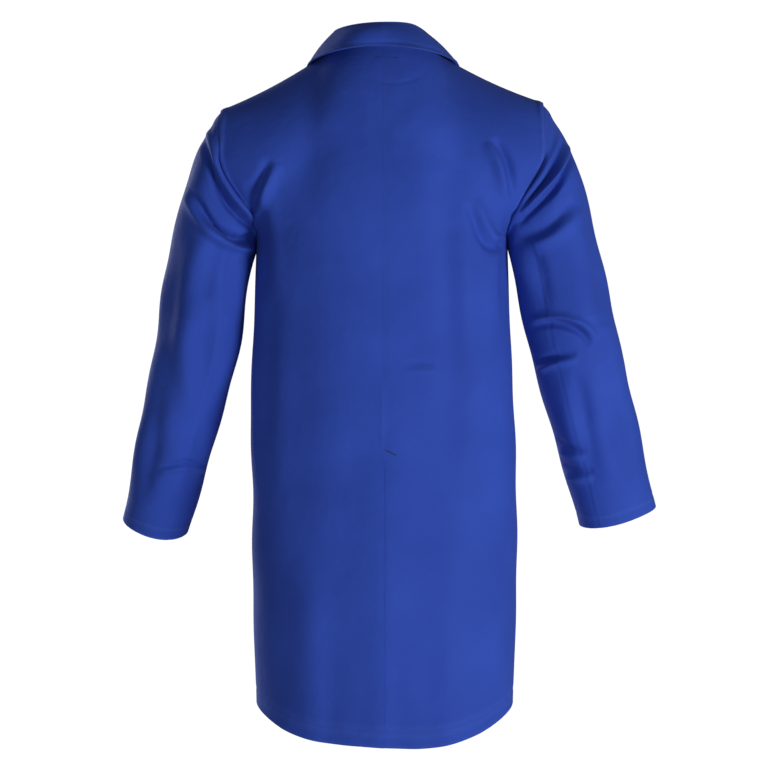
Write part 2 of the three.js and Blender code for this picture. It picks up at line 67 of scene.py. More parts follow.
CLOTH_THICK = 0.0009
LAYER_GAP = 0.0004  # air between the cloth and its turned-up layer
HEM_DEPTH = 0.022
STITCH_INSIDE = 0.003  # how far below its turned-up edge a hem is stitched
EDGE_STITCH = 0.007  # distance of the topstitching from the opening edge
PRESS_WIDTH = 0.0018  # half width of the groove that a stitched line presses in
ARMHOLE_EASE = 0.012  # distance over which cloth is eased back to the armhole
GIRTH_POWER = 2.4  # roundness of the body's cross-sections, where 2 is an ellipse


# ---------------------------------------------------------------- shapes and curves
def lerp(a: Array | float, b: Array | float, t: Array | float) -> Array | float:
    """The value a share t of the way from a to b."""
    return a + (b - a) * t


def smooth(t: Array | float) -> Array | float:
    """Smooth step of t from 0 to 1."""
    t = np.clip(t, 0, 1)
    return t * t * (3 - 2 * t)


def bell(distance: Array, width: float) -> Array:
    """A bell of height 1 at no distance, that has faded at about twice its width."""
    return np.exp(-((distance / width) ** 2))


def unit(v: Array) -> Array:
    """Vectors of length 1 along the last axis."""
    return v / np.maximum(np.linalg.norm(v, axis=-1, keepdims=True), 1e-12)


def stack(x: Array, y: Array, z: Array) -> Array:
    """Points from their three coordinates, spread to one shape."""
    return np.stack(np.broadcast_arrays(x, y, z), axis=-1).astype(float)


def bezier(points: Sequence[Sequence[float]], t: Array) -> Array:
    """Points of a cubic Bezier curve at t."""
    p = np.array(points, float)
    s = (1 - np.asarray(t))[..., None]
    t = np.asarray(t)[..., None]
    return s**3 * p[0] + 3 * s * s * t * p[1] + 3 * s * t * t * p[2] + t**3 * p[3]


def spline(points: Array, t: Array) -> Array:
    """Points of a Catmull-Rom spline.

    Args:
        points: control points along the first axis.
        t: places from 0 at the first to 1 at the last control point.

    Returns:
        One row for each place, of the control points' own shape.
    """
    p = np.asarray(points, float)
    p = np.concatenate([(2 * p[0] - p[1])[None], p, (2 * p[-1] - p[-2])[None]])
    spans = len(p) - 3
    place = np.clip(np.asarray(t, float), 0, 1) * spans
    i = np.minimum(place.astype(int), spans - 1)
    f = (place - i).reshape((-1,) + (1,) * (p.ndim - 1))
    a, b, c, d = p[i], p[i + 1], p[i + 2], p[i + 3]
    return 0.5 * (2 * b + (c - a) * f + (2 * a - 5 * b + 4 * c - d) * f**2 + (3 * b - a - 3 * c + d) * f**3)


def hermite(x: Array, xs: Sequence[float], ys: Sequence[float]) -> Array:
    """A smooth curve of x through the points xs, ys."""
    xs, ys = np.array(xs, float), np.array(ys, float)
    slopes = np.gradient(ys, xs)
    x = np.clip(x, xs[0], xs[-1])
    i = np.clip(np.searchsorted(xs, x) - 1, 0, len(xs) - 2)
    h = xs[i + 1] - xs[i]
    t = (x - xs[i]) / h
    a = (1 + 2 * t) * (1 - t) ** 2 * ys[i] + t * (1 - t) ** 2 * h * slopes[i]
    return a + t * t * (3 - 2 * t) * ys[i + 1] + t * t * (t - 1) * h * slopes[i + 1]


@dataclass
class CoatForm:
    """The worn shape that the panels follow, measured from the middle of the neck opening.

    Attributes:
        section_z: heights of the cross-sections, with their half_widths, back_depths and front_depths.
        hem_back: height of the hem at the centre back. So are hem_front and hem_side.
        side_y: where the side seams lie, front to back.
        nape: top of the centre back. So are neck_point and shoulder at the ends of the shoulder seam.
        armpit: lowest point of the armhole.
        armhole_back: how far the armhole bows back, and armhole_front how far it bows to the front.
        armhole_hollow: how far the front of the armhole is scooped in.
        hollow_rise: share of the armhole's height in which it comes out to the shoulder point.
        neck_share: share of the back's top edge that the neck takes.
        fold_x: where the opening edge is joined to the side front.
        overlap: how far each opening edge reaches past the centre.
        break_z: height at which the lapels start to turn over.
        edge_proud: how far the left edge lies outside, and edge_under how far the right one lies inside.
        left_droop: how much lower the left shoulder point is.
        left_slim: how much narrower the left half of the skirt hangs.
    """

    section_z: tuple[float, ...] = (-0.990, -0.860, -0.700, -0.540, -0.390, -0.255)
    half_widths: tuple[float, ...] = (0.190, 0.196, 0.199, 0.196, 0.189, 0.185)
    back_depths: tuple[float, ...] = (0.146, 0.143, 0.139, 0.135, 0.133, 0.133)
    front_depths: tuple[float, ...] = (0.142, 0.140, 0.138, 0.137, 0.138, 0.140)
    hem_back: float = -0.982
    hem_front: float = -0.974
    hem_side: float = -0.940
    side_y: float = -0.008
    nape: tuple[float, float, float] = (0.0, 0.066, 0.020)
    neck_point: tuple[float, float, float] = (0.082, 0.004, 0.014)
    shoulder: tuple[float, float, float] = (0.236, 0.006, -0.058)
    armpit: tuple[float, float, float] = (0.185, -0.008, -0.255)
    armhole_back: float = 0.072
    armhole_front: float = 0.066
    armhole_hollow: float = 0.008
    hollow_rise: float = 0.62
    neck_share: float = 0.36
    fold_x: float = 0.088
    overlap: float = 0.020
    break_z: float = -0.258
    edge_proud: float = 0.006
    edge_under: float = 0.0015
    left_droop: float = 0.011
    left_slim: float = 0.040

    def tip(self, side: float) -> Array:
        """The shoulder point on one side; the left one droops a little."""
        x, y, z = self.shoulder
        return np.array([x, y, z - self.left_droop if side > 0 else z])

    def slim(self, side: float, z: Array) -> Array:
        """How much narrower the left half of the skirt hangs, as a factor."""
        return 1 - (self.left_slim * smooth((-0.48 - z) / 0.16) if side > 0 else 0 * z)

    def shift(self) -> Array:
        """What moves a point of the form into the frame, from where the frame has the back panel."""
        low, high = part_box("left_back_panel")
        return np.array([0.0, low[1] - self.side_y, high[2] - self.nape[2]])

    def body(self, side: float, front: bool, share: Array, z: Array) -> Array:
        """Points of the body below the armpits, from the centre (share 0) to the side seam (1)."""
        angle = np.clip(share, 0, 1) * math.pi / 2
        power = 2 / GIRTH_POWER
        depths = self.front_depths if front else self.back_depths
        depth = hermite(z, self.section_z, depths) * (-1 if front else 1)
        x = side * hermite(z, self.section_z, self.half_widths) * np.sin(angle) ** power
        x = x * self.slim(side, z)
        return stack(x, self.side_y + depth * np.maximum(0, np.cos(angle)) ** power, z)

    def share_at(self, x: Array, z: Array) -> Array:
        """The share of the half width at which the body has this x."""
        ratio = np.clip(np.abs(x) / hermite(z, self.section_z, self.half_widths), 0, 1)
        return 2 / math.pi * np.arcsin(ratio ** (GIRTH_POWER / 2))

    def hem(self, front: bool, share: Array) -> Array:
        """Height of the hem, which rises towards the side seams."""
        rise = np.sin(np.clip(share, 0, 1) * math.pi / 2) ** 3
        return lerp(self.hem_front if front else self.hem_back, self.hem_side, rise)

    def armhole(self, side: float, front: bool | Array, turn: Array) -> Array:
        """The armhole's edge from the armpit (turn 0) to the shoulder point (turn 1)."""
        rise = (1 - np.cos(math.pi * turn)) / 2
        hollow = np.sin(math.pi / 2 * np.minimum(1, rise / self.hollow_rise)) ** 2
        depth = np.where(front, -self.armhole_front, self.armhole_back)
        wave = np.sin(math.pi * turn)
        tip = self.tip(side)
        x = lerp(self.armpit[0], tip[0], hollow) - np.where(front, self.armhole_hollow, 0) * wave
        y = lerp(self.armpit[1], tip[1], rise) + depth * wave
        return stack(side * x, y, lerp(self.armpit[2], tip[2], rise))

    def neckline(self, side: float, angle: Array) -> Array:
        """The back half of the neck seam, from the nape (0) to the neck point (a quarter turn)."""
        x, y, z = self.neck_point
        height = lerp(self.nape[2], z, smooth(angle / (math.pi / 2)))
        return stack(side * x * np.sin(angle), y + (self.nape[1] - y) * np.cos(angle), height)

    def shoulder_seam(self, side: float, t: Array) -> Array:
        """The shoulder seam from the neck point (0) to the shoulder point (1)."""
        a, b = self.neck_point, self.tip(side)
        z = lerp(a[2], b[2], t) - 0.005 * np.sin(math.pi * t)
        return stack(side * lerp(a[0], b[0], t), lerp(a[1], b[1], t), z)

    def patch(self, left: Curve, right: Curve, bottom: Curve, top: Curve, u: Array, v: Array) -> Array:
        """A four-sided surface inside its edge curves.

        Args:
            left: the edge at u = 0, a function of v. So is right, at u = 1.
            right: see left.
            bottom: the edge at v = 0, a function of u. So is top, at v = 1.
            top: see bottom.
            u: places across.
            v: places up.

        Returns:
            The points at u and v.
        """
        zero, one = np.zeros(1), np.ones(1)
        uu, vv = u[..., None], v[..., None]
        ruled = lerp(left(v), right(v), uu) + lerp(bottom(u), top(u), vv)
        low = lerp(left(zero)[0], right(zero)[0], uu)
        high = lerp(left(one)[0], right(one)[0], uu)
        return ruled - lerp(low, high, vv)

    def back(self, side: float, u: Array, v: Array) -> Array:
        """The back: across from the centre to the side, up from the hem through the armpit (0.5)."""
        z = lerp(self.hem(False, u), self.armpit[2], np.minimum(1, v * 2))
        lower = self.body(side, False, u, z)
        top_depth = self.side_y + self.back_depths[-1]
        centre = ((0, top_depth, self.armpit[2]), (0, 0.132, -0.165), (0, 0.104, -0.050), self.nape)

        def top(t: Array) -> Array:
            """The neck seam, and then the shoulder seam."""
            share = self.neck_share
            neck = self.neckline(side, np.minimum(1, t / share) * math.pi / 2)
            seam = self.shoulder_seam(side, np.maximum(0, (t - share) / (1 - share)))
            return np.where((t < share)[..., None], neck, seam)

        upper = self.patch(
            lambda t: bezier(centre, t),
            lambda t: self.armhole(side, False, t),
            lambda t: self.body(side, False, t, np.full_like(t, self.armpit[2])),
            top,
            u,
            np.maximum(0, v * 2 - 1),
        )
        return np.where((v > 0.5)[..., None], upper, lower)

    def fold_column(self, side: float, t: Array) -> Array:
        """The upright line of the front above the armpit, from the fold line to the neck point."""
        z = np.full(1, self.armpit[2])
        start = self.body(side, True, self.share_at(np.full(1, self.fold_x), z), z)[0]
        bend = (side * self.fold_x, start[1] - 0.008, -0.165)
        x, y, z = self.neck_point
        return bezier((start, bend, (side * 0.086, -0.112, 0.002), (side * x, y, z)), t)

    def side_front(self, side: float, u: Array, v: Array) -> Array:
        """The front from its fold line to the side seam and armhole."""
        z = lerp(self.hem(True, u), self.armpit[2], np.minimum(1, v * 2))
        start = self.share_at(np.full_like(u, self.fold_x), z)
        lower = self.body(side, True, lerp(start, 1, u), z)
        level = np.full(1, self.armpit[2])
        first = self.share_at(np.full(1, self.fold_x), level)[0]
        upper = self.patch(
            lambda t: self.fold_column(side, t),
            lambda t: self.armhole(side, True, t),
            lambda t: self.body(side, True, lerp(first, 1, t), np.full_like(t, self.armpit[2])),
            lambda t: self.shoulder_seam(side, t),
            u,
            np.maximum(0, v * 2 - 1),
        )
        return np.where((v > 0.5)[..., None], upper, lower)

    def front_edge(self, side: float, u: Array, v: Array) -> Array:
        """The opening edge below the break, from the fold line (0) past the centre (1)."""
        x = lerp(self.fold_x, -self.overlap, u)
        z = lerp(self.hem_front, self.break_z, v)
        p = self.body(1, True, self.share_at(x, z), z)
        proud = (self.edge_proud if side > 0 else -self.edge_under) * smooth(u * 1.4)
        return stack(side * x, p[..., 1] - proud, z)

    def roll_line(self, side: float, t: Array) -> Array:
        """The line on which the lapel turns over, from the break to the collar."""
        s = self.front_edge(side, np.ones(1), np.ones(1))[0]
        top = (side * 0.064, -0.010, 0.008)
        bends = (s[0] + side * 0.028, s[1] - 0.004, -0.160), (side * 0.046, -0.078, -0.040)
        return bezier((s, *bends, top), t)

    def upper_front(self, side: float, u: Array, v: Array) -> Array:
        """The front above the break, from the fold line (0) to the lapel's roll line (1)."""

        def column(t: Array) -> Array:
            """The fold line, drawn down to the break."""
            p = self.fold_column(side, t)
            p[..., 2] = lerp(self.break_z, p[..., 2], np.minimum(1, t * 9))
            return p

        def top(t: Array) -> Array:
            """The short edge under the collar."""
            neck = np.array(self.neck_point) * (side, 1, 1)
            return lerp(neck, self.roll_line(side, np.ones(1))[0], t[..., None])

        return self.patch(
            column,
            lambda t: self.roll_line(side, t),
            lambda t: self.front_edge(side, t, np.ones_like(t)),
            top,
            u,
            v,
        )


# ---------------------------------------------------------------- cloth as grids of points
@dataclass
class Crease:
    """A fold line in the cloth, seen square on.

    Attributes:
        path: points (x, z) along it.
        width: half width of the valley.
        depth: how deep the valley is.
        ridge: height of the roll beside it, as a share of the depth.
        lean: 1 or -1, the side on which the roll stands.
    """

    path: Sequence[tuple[float, float]]
    width: float = 0.010
    depth: float = 0.006
    ridge: float = 0.7
    lean: float = 1.0

    def height(self, x: Array, z: Array) -> Array:
        """How far the cloth stands out at x and z; a valley is negative."""
        line = spline(np.array(self.path, float), np.linspace(0, 1, 28))
        a, b = line[:-1], line[1:]
        run = b - a
        p = np.stack([x, z], -1)[..., None, :]
        t = np.clip(((p - a) * run).sum(-1) / (run**2).sum(-1), 0, 1)
        away = p - (a + t[..., None] * run)
        distance = np.linalg.norm(away, axis=-1)
        nearest = distance.argmin(-1)[..., None]
        near = np.take_along_axis(distance, nearest, -1)[..., 0]
        cross = run[:, 0] * away[..., 1] - run[:, 1] * away[..., 0]
        signed = near * np.sign(np.take_along_axis(cross, nearest, -1)[..., 0]) * self.lean
        along = (nearest[..., 0] + np.take_along_axis(t, nearest, -1)[..., 0]) / len(a)
        fade = np.sin(math.pi * np.clip(along, 0, 1)) ** 0.7
        roll = self.ridge * bell(signed - 1.7 * self.width, 1.25 * self.width)
        return self.depth * fade * (roll - bell(near, self.width))


class Facing(Enum):
    """Which side of the coat a crease is on."""

    BACK = 1.0
    FRONT = -1.0


@dataclass
class Cloth:
    """A piece of cloth as a grid of points, across (first axis) and up (second axis).

    Attributes:
        points: the grid.
        closed: whether its last column joins its first, as in a sleeve.
        turned: whether the grid's own normals point inwards.
        worn: how rubbed each point is, from 0 to 1.
    """

    points: Array
    closed: bool = False
    turned: bool = False
    worn: Array | None = None

    def __post_init__(self) -> None:
        """Starts with no worn places."""
        if self.worn is None:
            self.worn = np.zeros(self.points.shape[:2])

    def normals(self) -> Array:
        """Outward normals of every point."""
        p = self.points
        if self.closed:
            across = np.roll(p, -1, 0) - np.roll(p, 1, 0)
        else:
            across = np.gradient(p, axis=0)
        n = unit(np.cross(across, np.gradient(p, axis=1)))
        return -n if self.turned else n

    def steps(self, axis: int) -> Array:
        """Mean distance between neighbours along an axis, summed up from 0 to the whole length."""
        gaps = np.linalg.norm(np.diff(self.points, axis=axis), axis=-1)
        return np.concatenate([[0], np.cumsum(gaps.mean(axis=1 - axis))])

    def size(self) -> tuple[float, float]:
        """Width and length of the cut piece."""
        columns = len(self.points)
        width = self.steps(0)[-1] * (columns / (columns - 1) if self.closed else 1)
        return float(width), float(self.steps(1)[-1])

    def area(self) -> float:
        """Area of the cloth."""
        p = self.points if not self.closed else np.concatenate([self.points, self.points[:1]])
        a, b, c, d = p[:-1, :-1], p[1:, :-1], p[1:, 1:], p[:-1, 1:]
        halves = np.cross(b - a, c - a), np.cross(c - a, d - a)
        return float(sum(np.linalg.norm(h, axis=-1).sum() for h in halves) / 2)

    def relaxed(self, rounds: int, give: float = 0.52) -> "Cloth":
        """Smooths kinks out of the grid and keeps its edges; less give lets it flatten more."""
        p = self.points.copy()
        for i in range(rounds * 2):
            weight = 0.5 if i % 2 == 0 else -give
            change = (p[:-2, 1:-1] + p[2:, 1:-1] + p[1:-1, :-2] + p[1:-1, 2:]) / 4 - p[1:-1, 1:-1]
            p[1:-1, 1:-1] += weight * change
        self.points = p
        return self

    def raised(self, height: Array | float) -> "Cloth":
        """Moves every point outwards by a height."""
        height = np.broadcast_to(height, self.points.shape[:2])
        self.points = self.points + self.normals() * height[..., None]
        return self

    def rubbed(self, amount: Array) -> "Cloth":
        """Rubs the cloth, where it isn't rubbed more already."""
        self.worn = np.maximum(self.worn, amount)
        return self

    def creased(self, creases: Sequence[Crease], facing: Facing, shift: Array) -> "Cloth":
        """Presses creases into the side of the cloth that faces one way.

        Args:
            creases: the fold lines, in the form's own x and z.
            facing: the side of the coat that they are on.
            shift: what moved the form into the frame.

        Returns:
            The cloth itself.
        """
        seen = smooth(self.normals()[..., 1] * facing.value * 2.2)
        x, z = self.points[..., 0] - shift[0], self.points[..., 2] - shift[2]
        return self.raised(sum(c.height(x, z) for c in creases) * seen)

    def eased(self, move: Array, axis: int, last: bool, reach: float) -> "Cloth":
        """Moves one edge of the cloth, and what lies near it less and less.

        Args:
            move: how far each point of the edge goes.
            axis: 0 for a side edge, 1 for the bottom or top edge.
            last: whether it is the axis's last edge.
            reach: distance over which the move fades.

        Returns:
            The cloth itself.
        """
        steps = self.steps(axis)
        fade = 1 - smooth((steps[-1] - steps if last else steps) / reach)
        if axis == 0:
            self.points += fade[:, None, None] * move[None]
        else:
            self.points += fade[None, :, None] * move[:, None]
        return self

    def seamed(self, both: bool, depth: float) -> "Cloth":
        """Draws the cloth in along its side seams, with a flat worn ridge beside each.

        Args:
            both: whether the first side edge is a seam too, and not only the last.
            depth: how deep the seam lies.

        Returns:
            The cloth itself.
        """
        across = self.steps(0)
        dip = np.zeros((len(across), 1))
        for distance in (across, across[-1] - across)[0 if both else 1 :]:
            distance = distance[:, None]
            dip += bell(distance, 0.0035) * depth - bell(distance - 0.008, 0.0035) * 0.0005
            self.rubbed(bell(distance - 0.006, 0.004))
        return self.raised(-dip)

    def hemmed(
        self, depth: float, rub: float = 0.7, edge_rub: float = 1.0, edge_width: float = 0.004
    ) -> "Cloth":
        """Presses a hem's stitched line into the cloth and rubs its bottom edge.

        Args:
            depth: height of the turned-up layer.
            rub: how rubbed the cloth is beside the line.
            edge_rub: how rubbed the bottom edge is.
            edge_width: half width of the rubbed edge.

        Returns:
            The cloth itself.
        """
        up = self.steps(1)[None]
        line = np.abs(up - depth)
        self.raised(-0.0006 * bell(line, PRESS_WIDTH))
        self.rubbed(bell(line - 0.004, 0.004) * rub)
        return self.rubbed(bell(up, edge_width) * edge_rub)

    def at(self, u: Array, v: Array) -> tuple[Array, Array]:
        """Points and normals at shares u across and v up the grid."""
        found = []
        for values in (self.points, self.normals()):
            nu, nv = values.shape[0] - (0 if self.closed else 1), values.shape[1] - 1
            i, j = np.asarray(u) % 1.0001 * nu, np.clip(v, 0, 1) * nv
            i0, j0 = np.minimum(i.astype(int), nu - 1), np.minimum(j.astype(int), nv - 1)
            fi, fj = (i - i0)[..., None], (j - j0)[..., None]
            i1 = (i0 + 1) % values.shape[0]
            a = lerp(values[i0, j0], values[i1, j0], fi)
            b = lerp(values[i0, j0 + 1], values[i1, j0 + 1], fi)
            found.append(lerp(a, b, fj))
        return found[0], unit(found[1])

    def share_at(self, axis: int, distance: float, from_far: bool) -> float:
        """Share of the way along an axis at this distance from its near or its far edge."""
        steps = self.steps(axis)
        place = steps[-1] - distance if from_far else distance
        return float(np.interp(place, steps, np.linspace(0, 1, len(steps))))

    def across_at(self, distance: float, from_top: bool = False) -> float:
        """Share of the way up at this distance from the bottom edge, or from the top."""
        return self.share_at(1, distance, from_top)

    def up_at(self, distance: float, from_end: bool = False) -> float:
        """Share of the way across at this distance from the first edge, or from the last."""
        return self.share_at(0, distance, from_end)

    def layer(
        self,
        across: tuple[float, float, int],
        up: tuple[float, float, int],
        drop: float = CLOTH_THICK + LAYER_GAP,
    ) -> "Cloth":
        """A second layer of cloth inside this one.

        Args:
            across: where it starts and ends across, and its grid points. So is up, upwards.
            up: see across.
            drop: how far inside it lies.

        Returns:
            The layer.
        """
        columns = np.linspace(*across, endpoint=not self.closed)
        points, normals = self.at(*np.meshgrid(columns, np.linspace(*up), indexing="ij"))
        return Cloth(points - normals * drop, closed=self.closed, turned=self.turned)


# ---------------------------------------------------------------- finishes
@dataclass
class Value:
    """A shader value on which Python's operators build Math nodes."""

    shader: "Shader"
    socket: bpy.types.NodeSocket

    def maths(self, operation: str, *others: "Value | float") -> "Value":
        """The Math node of an operation on this value and the others."""
        values = {i: v for i, v in enumerate((self, *others))}
        return self.shader.node("ShaderNodeMath", {"operation": operation}, values)["Value"]

    def __add__(self, other: "Value | float") -> "Value":
        """This value plus another."""
        return self.maths("ADD", other)

    __radd__ = __add__

    def __mul__(self, other: "Value | float") -> "Value":
        """This value times another."""
        return self.maths("MULTIPLY", other)

    __rmul__ = __mul__

    def __sub__(self, other: "Value | float") -> "Value":
        """This value less another."""
        return self.maths("SUBTRACT", other)

    def __rsub__(self, other: float) -> "Value":
        """A number less this value."""
        return self.maths("MULTIPLY", -1.0) + other

    def sine(self) -> "Value":
        """The sine of this value."""
        return self.maths("SINE")


@dataclass
class Made:
    """A node that has been made, whose outputs are read by name."""

    shader: "Shader"
    item: bpy.types.Node

    def __getitem__(self, name: str) -> Value:
        """The output of this name."""
        return Value(self.shader, self.item.outputs[name])


class Shader:
    """A material's node tree under construction."""

    def __init__(self, name: str) -> None:
        """Makes an empty material of this name."""
        self.material = bpy.data.materials.new(name)
        self.material.use_nodes = True
        self.tree = self.material.node_tree
        self.tree.nodes.clear()

    def node(self, kind: str, settings: dict | None = None, values: dict | None = None) -> Made:
        """Makes one node.

        Args:
            kind: the node's type.
            settings: its properties.
            values: numbers, colours or links for its sockets, by name or number.

        Returns:
            The node.
        """
        item = self.tree.nodes.new(kind)
        for key, value in (settings or {}).items():
            setattr(item, key, value)
        for key, value in (values or {}).items():
            if isinstance(value, Value):
                self.tree.links.new(value.socket, item.inputs[key])
            else:
                item.inputs[key].default_value = value
        return Made(self, item)

    def noise(self, place: Value | None, scale: float, detail: float, **values: float) -> Value:
        """A noise pattern at a place, or at the surface's own if there is none."""
        values = {"Scale": scale, "Detail": detail, **values}
        if place is not None:
            values["Vector"] = place
        return self.node("ShaderNodeTexNoise", {}, values)["Fac"]

    def bump(self, strength: float, distance: float, height: Value, **values: Value) -> Value:
        """A normal that a height in metres makes rough."""
        values = {"Strength": strength, "Distance": distance, "Height": height, **values}
        return self.node("ShaderNodeBump", {}, values)["Normal"]

    def grain(self) -> tuple[Value, Value, Value]:
        """The place in the cloth's own grain, and its shares across and along."""
        grain = self.node("ShaderNodeUVMap", {"uv_map": "grain"})["UV"]
        axes = self.node("ShaderNodeSeparateXYZ", {}, {0: grain})
        return grain, axes["X"], axes["Y"]

    def place(self) -> Value:
        """The place in the piece's own coordinates."""
        return self.node("ShaderNodeTexCoord")["Object"]

    def mix(self, factor: Value | float, a: Value | tuple, b: Value | tuple) -> Value:
        """A colour a share of the way from a to b."""
        made = self.node("ShaderNodeMix", {"data_type": "RGBA"}, {0: factor, 6: a, 7: b})
        return Value(self, made.item.outputs[2])

    def finish(self, values: dict) -> bpy.types.Material:
        """Ends the tree in a Principled shader with these values."""
        surface = self.node("ShaderNodeBsdfPrincipled", {}, values)
        self.node("ShaderNodeOutputMaterial", {}, {"Surface": surface["BSDF"]})
        return self.material


@dataclass(frozen=True)
class TwillFinish:
    """Dyed polyester-cotton twill, matt with a faint sheen.

    Attributes:
        name: the material's name.
        colour: the cloth's dye, and deep and pale for its darker and its rubbed places.
        rib: distance between the twill's slanting ribs.
        weave_relief: depth of the weave, and crumple_relief of the cloth's small crumples.
    """

    name: str = "coat_cloth"
    colour: tuple[float, float, float, float] = (0.024, 0.071, 0.450, 1)
    deep: tuple[float, float, float, float] = (0.017, 0.054, 0.365, 1)
    pale: tuple[float, float, float, float] = (0.050, 0.110, 0.520, 1)
    rib: float = 0.0011
    weave_relief: float = 0.00022
    crumple_relief: float = 0.0042

    def make(self) -> bpy.types.Material:
        """The material, with its weave laid out by the cloth's own grain."""
        s = Shader(self.name)
        grain, across, along = s.grain()
        turn = 2 * math.pi / self.rib
        ribs = (across * (0.8 * turn) + along * (0.6 * turn)).sine()
        picks = (along * (2.3 * turn)).sine()
        broad = s.noise(grain, 7.0, 3.0)
        slubs = s.noise(grain, 420.0, 3.0)
        crumple = s.noise(grain, 38.0, 4.0, Roughness=0.5)
        worn = s.node("ShaderNodeAttribute", {"attribute_name": "worn"})["Fac"]
        dye = s.mix((broad - 0.32) * 2.2 + (slubs - 0.5) * 0.9, self.deep, self.colour)
        rubbed = worn * (0.16 + slubs * 0.5) + ribs * 0.03
        weave = ribs * 0.5 + picks * 0.2 + slubs * 1.6
        fine = s.bump(0.35, self.weave_relief, weave)
        return s.finish(
            {
                "Base Color": s.mix(rubbed, dye, self.pale),
                "Roughness": 0.72 + slubs * 0.2 + worn * 0.06,
                "Normal": s.bump(0.6, self.crumple_relief, crumple * (0.6 + worn), Normal=fine),
                "Sheen Weight": 0.05,
                "Sheen Roughness": 0.45,
                "Sheen Tint": (0.45, 0.58, 1.0, 1),
                "Specular IOR Level": 0.28,
            }
        )


@dataclass(frozen=True)
class ThreadFinish:
    """Twisted sewing thread.

    Attributes:
        name: the material's name.
        colour: the thread's dye.
    """

    name: str
    colour: tuple[float, float, float, float]

    def make(self) -> bpy.types.Material:
        """The material."""
        s = Shader(self.name)
        fuzz = s.noise(s.place(), 2600.0, 2.0)
        darker = tuple(0.7 * c for c in self.colour[:3]) + (1,)
        colour = s.mix(fuzz, darker, self.colour)
        return s.finish({"Base Color": colour, "Roughness": 0.55 + fuzz * 0.2, "Sheen Weight": 0.2})


@dataclass(frozen=True)
class NickelFinish:
    """Nickel-plated pressed metal with fine scuffs.

    Attributes:
        name: the material's name.
        dull: colour of the scuffs, and bright of the metal between them.
    """

    name: str = "press_stud"
    dull: tuple[float, float, float, float] = (0.56, 0.56, 0.58, 1)
    bright: tuple[float, float, float, float] = (0.78, 0.78, 0.80, 1)

    def make(self) -> bpy.types.Material:
        """The material."""
        s = Shader(self.name)
        scuffs = s.noise(s.place(), 900.0, 5.0)
        colour = s.mix(scuffs, self.dull, self.bright)
        bump = s.bump(0.12, 0.0002, scuffs)
        rough = 0.2 + scuffs * 0.25
        return s.finish({"Base Color": colour, "Metallic": 1.0, "Roughness": rough, "Normal": bump})


@dataclass(frozen=True)
class TapeFinish:
    """Blank woven label tape.

    Attributes:
        name: the material's name.
        weft: colour of its darker threads, and warp of its paler ones.
        threads: turns of the weave's waves, in radians a metre.
    """

    name: str = "label_tape"
    weft: tuple[float, float, float, float] = (0.74, 0.74, 0.71, 1)
    warp: tuple[float, float, float, float] = (0.88, 0.88, 0.86, 1)
    threads: float = 9000.0

    def make(self) -> bpy.types.Material:
        """The material."""
        s = Shader(self.name)
        _, across, along = s.grain()
        threads = (across * self.threads).sine() * 0.5 + (along * self.threads).sine() * 0.5
        return s.finish(
            {
                "Base Color": s.mix(0.5 + threads * 0.25, self.weft, self.warp),
                "Roughness": 0.62 + threads * 0.05,
                "Normal": s.bump(0.3, 0.0002, threads),
                "Sheen Weight": 0.1,
            }
        )


# ---------------------------------------------------------------- making and fastening pieces
@dataclass(frozen=True)
class Hold:
    """What a piece moves with: one body. A bend from one body to another is given but not made, and such a
    piece stays in place.
    """

    body: str
    other: str = ""
    start: tuple[float, float, float] = (0, 0, 0)
    end: tuple[float, float, float] = (0, 0, 0)

    def fasten(self, piece: bpy.types.Object) -> None:
        """Fastens a piece to its body; a piece with a bend is only baked in place."""
        if self.other:
            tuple(self.start)
            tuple(self.end)
            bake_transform(piece)
        else:
            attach(piece, self.body)


COAT = Hold("coat")


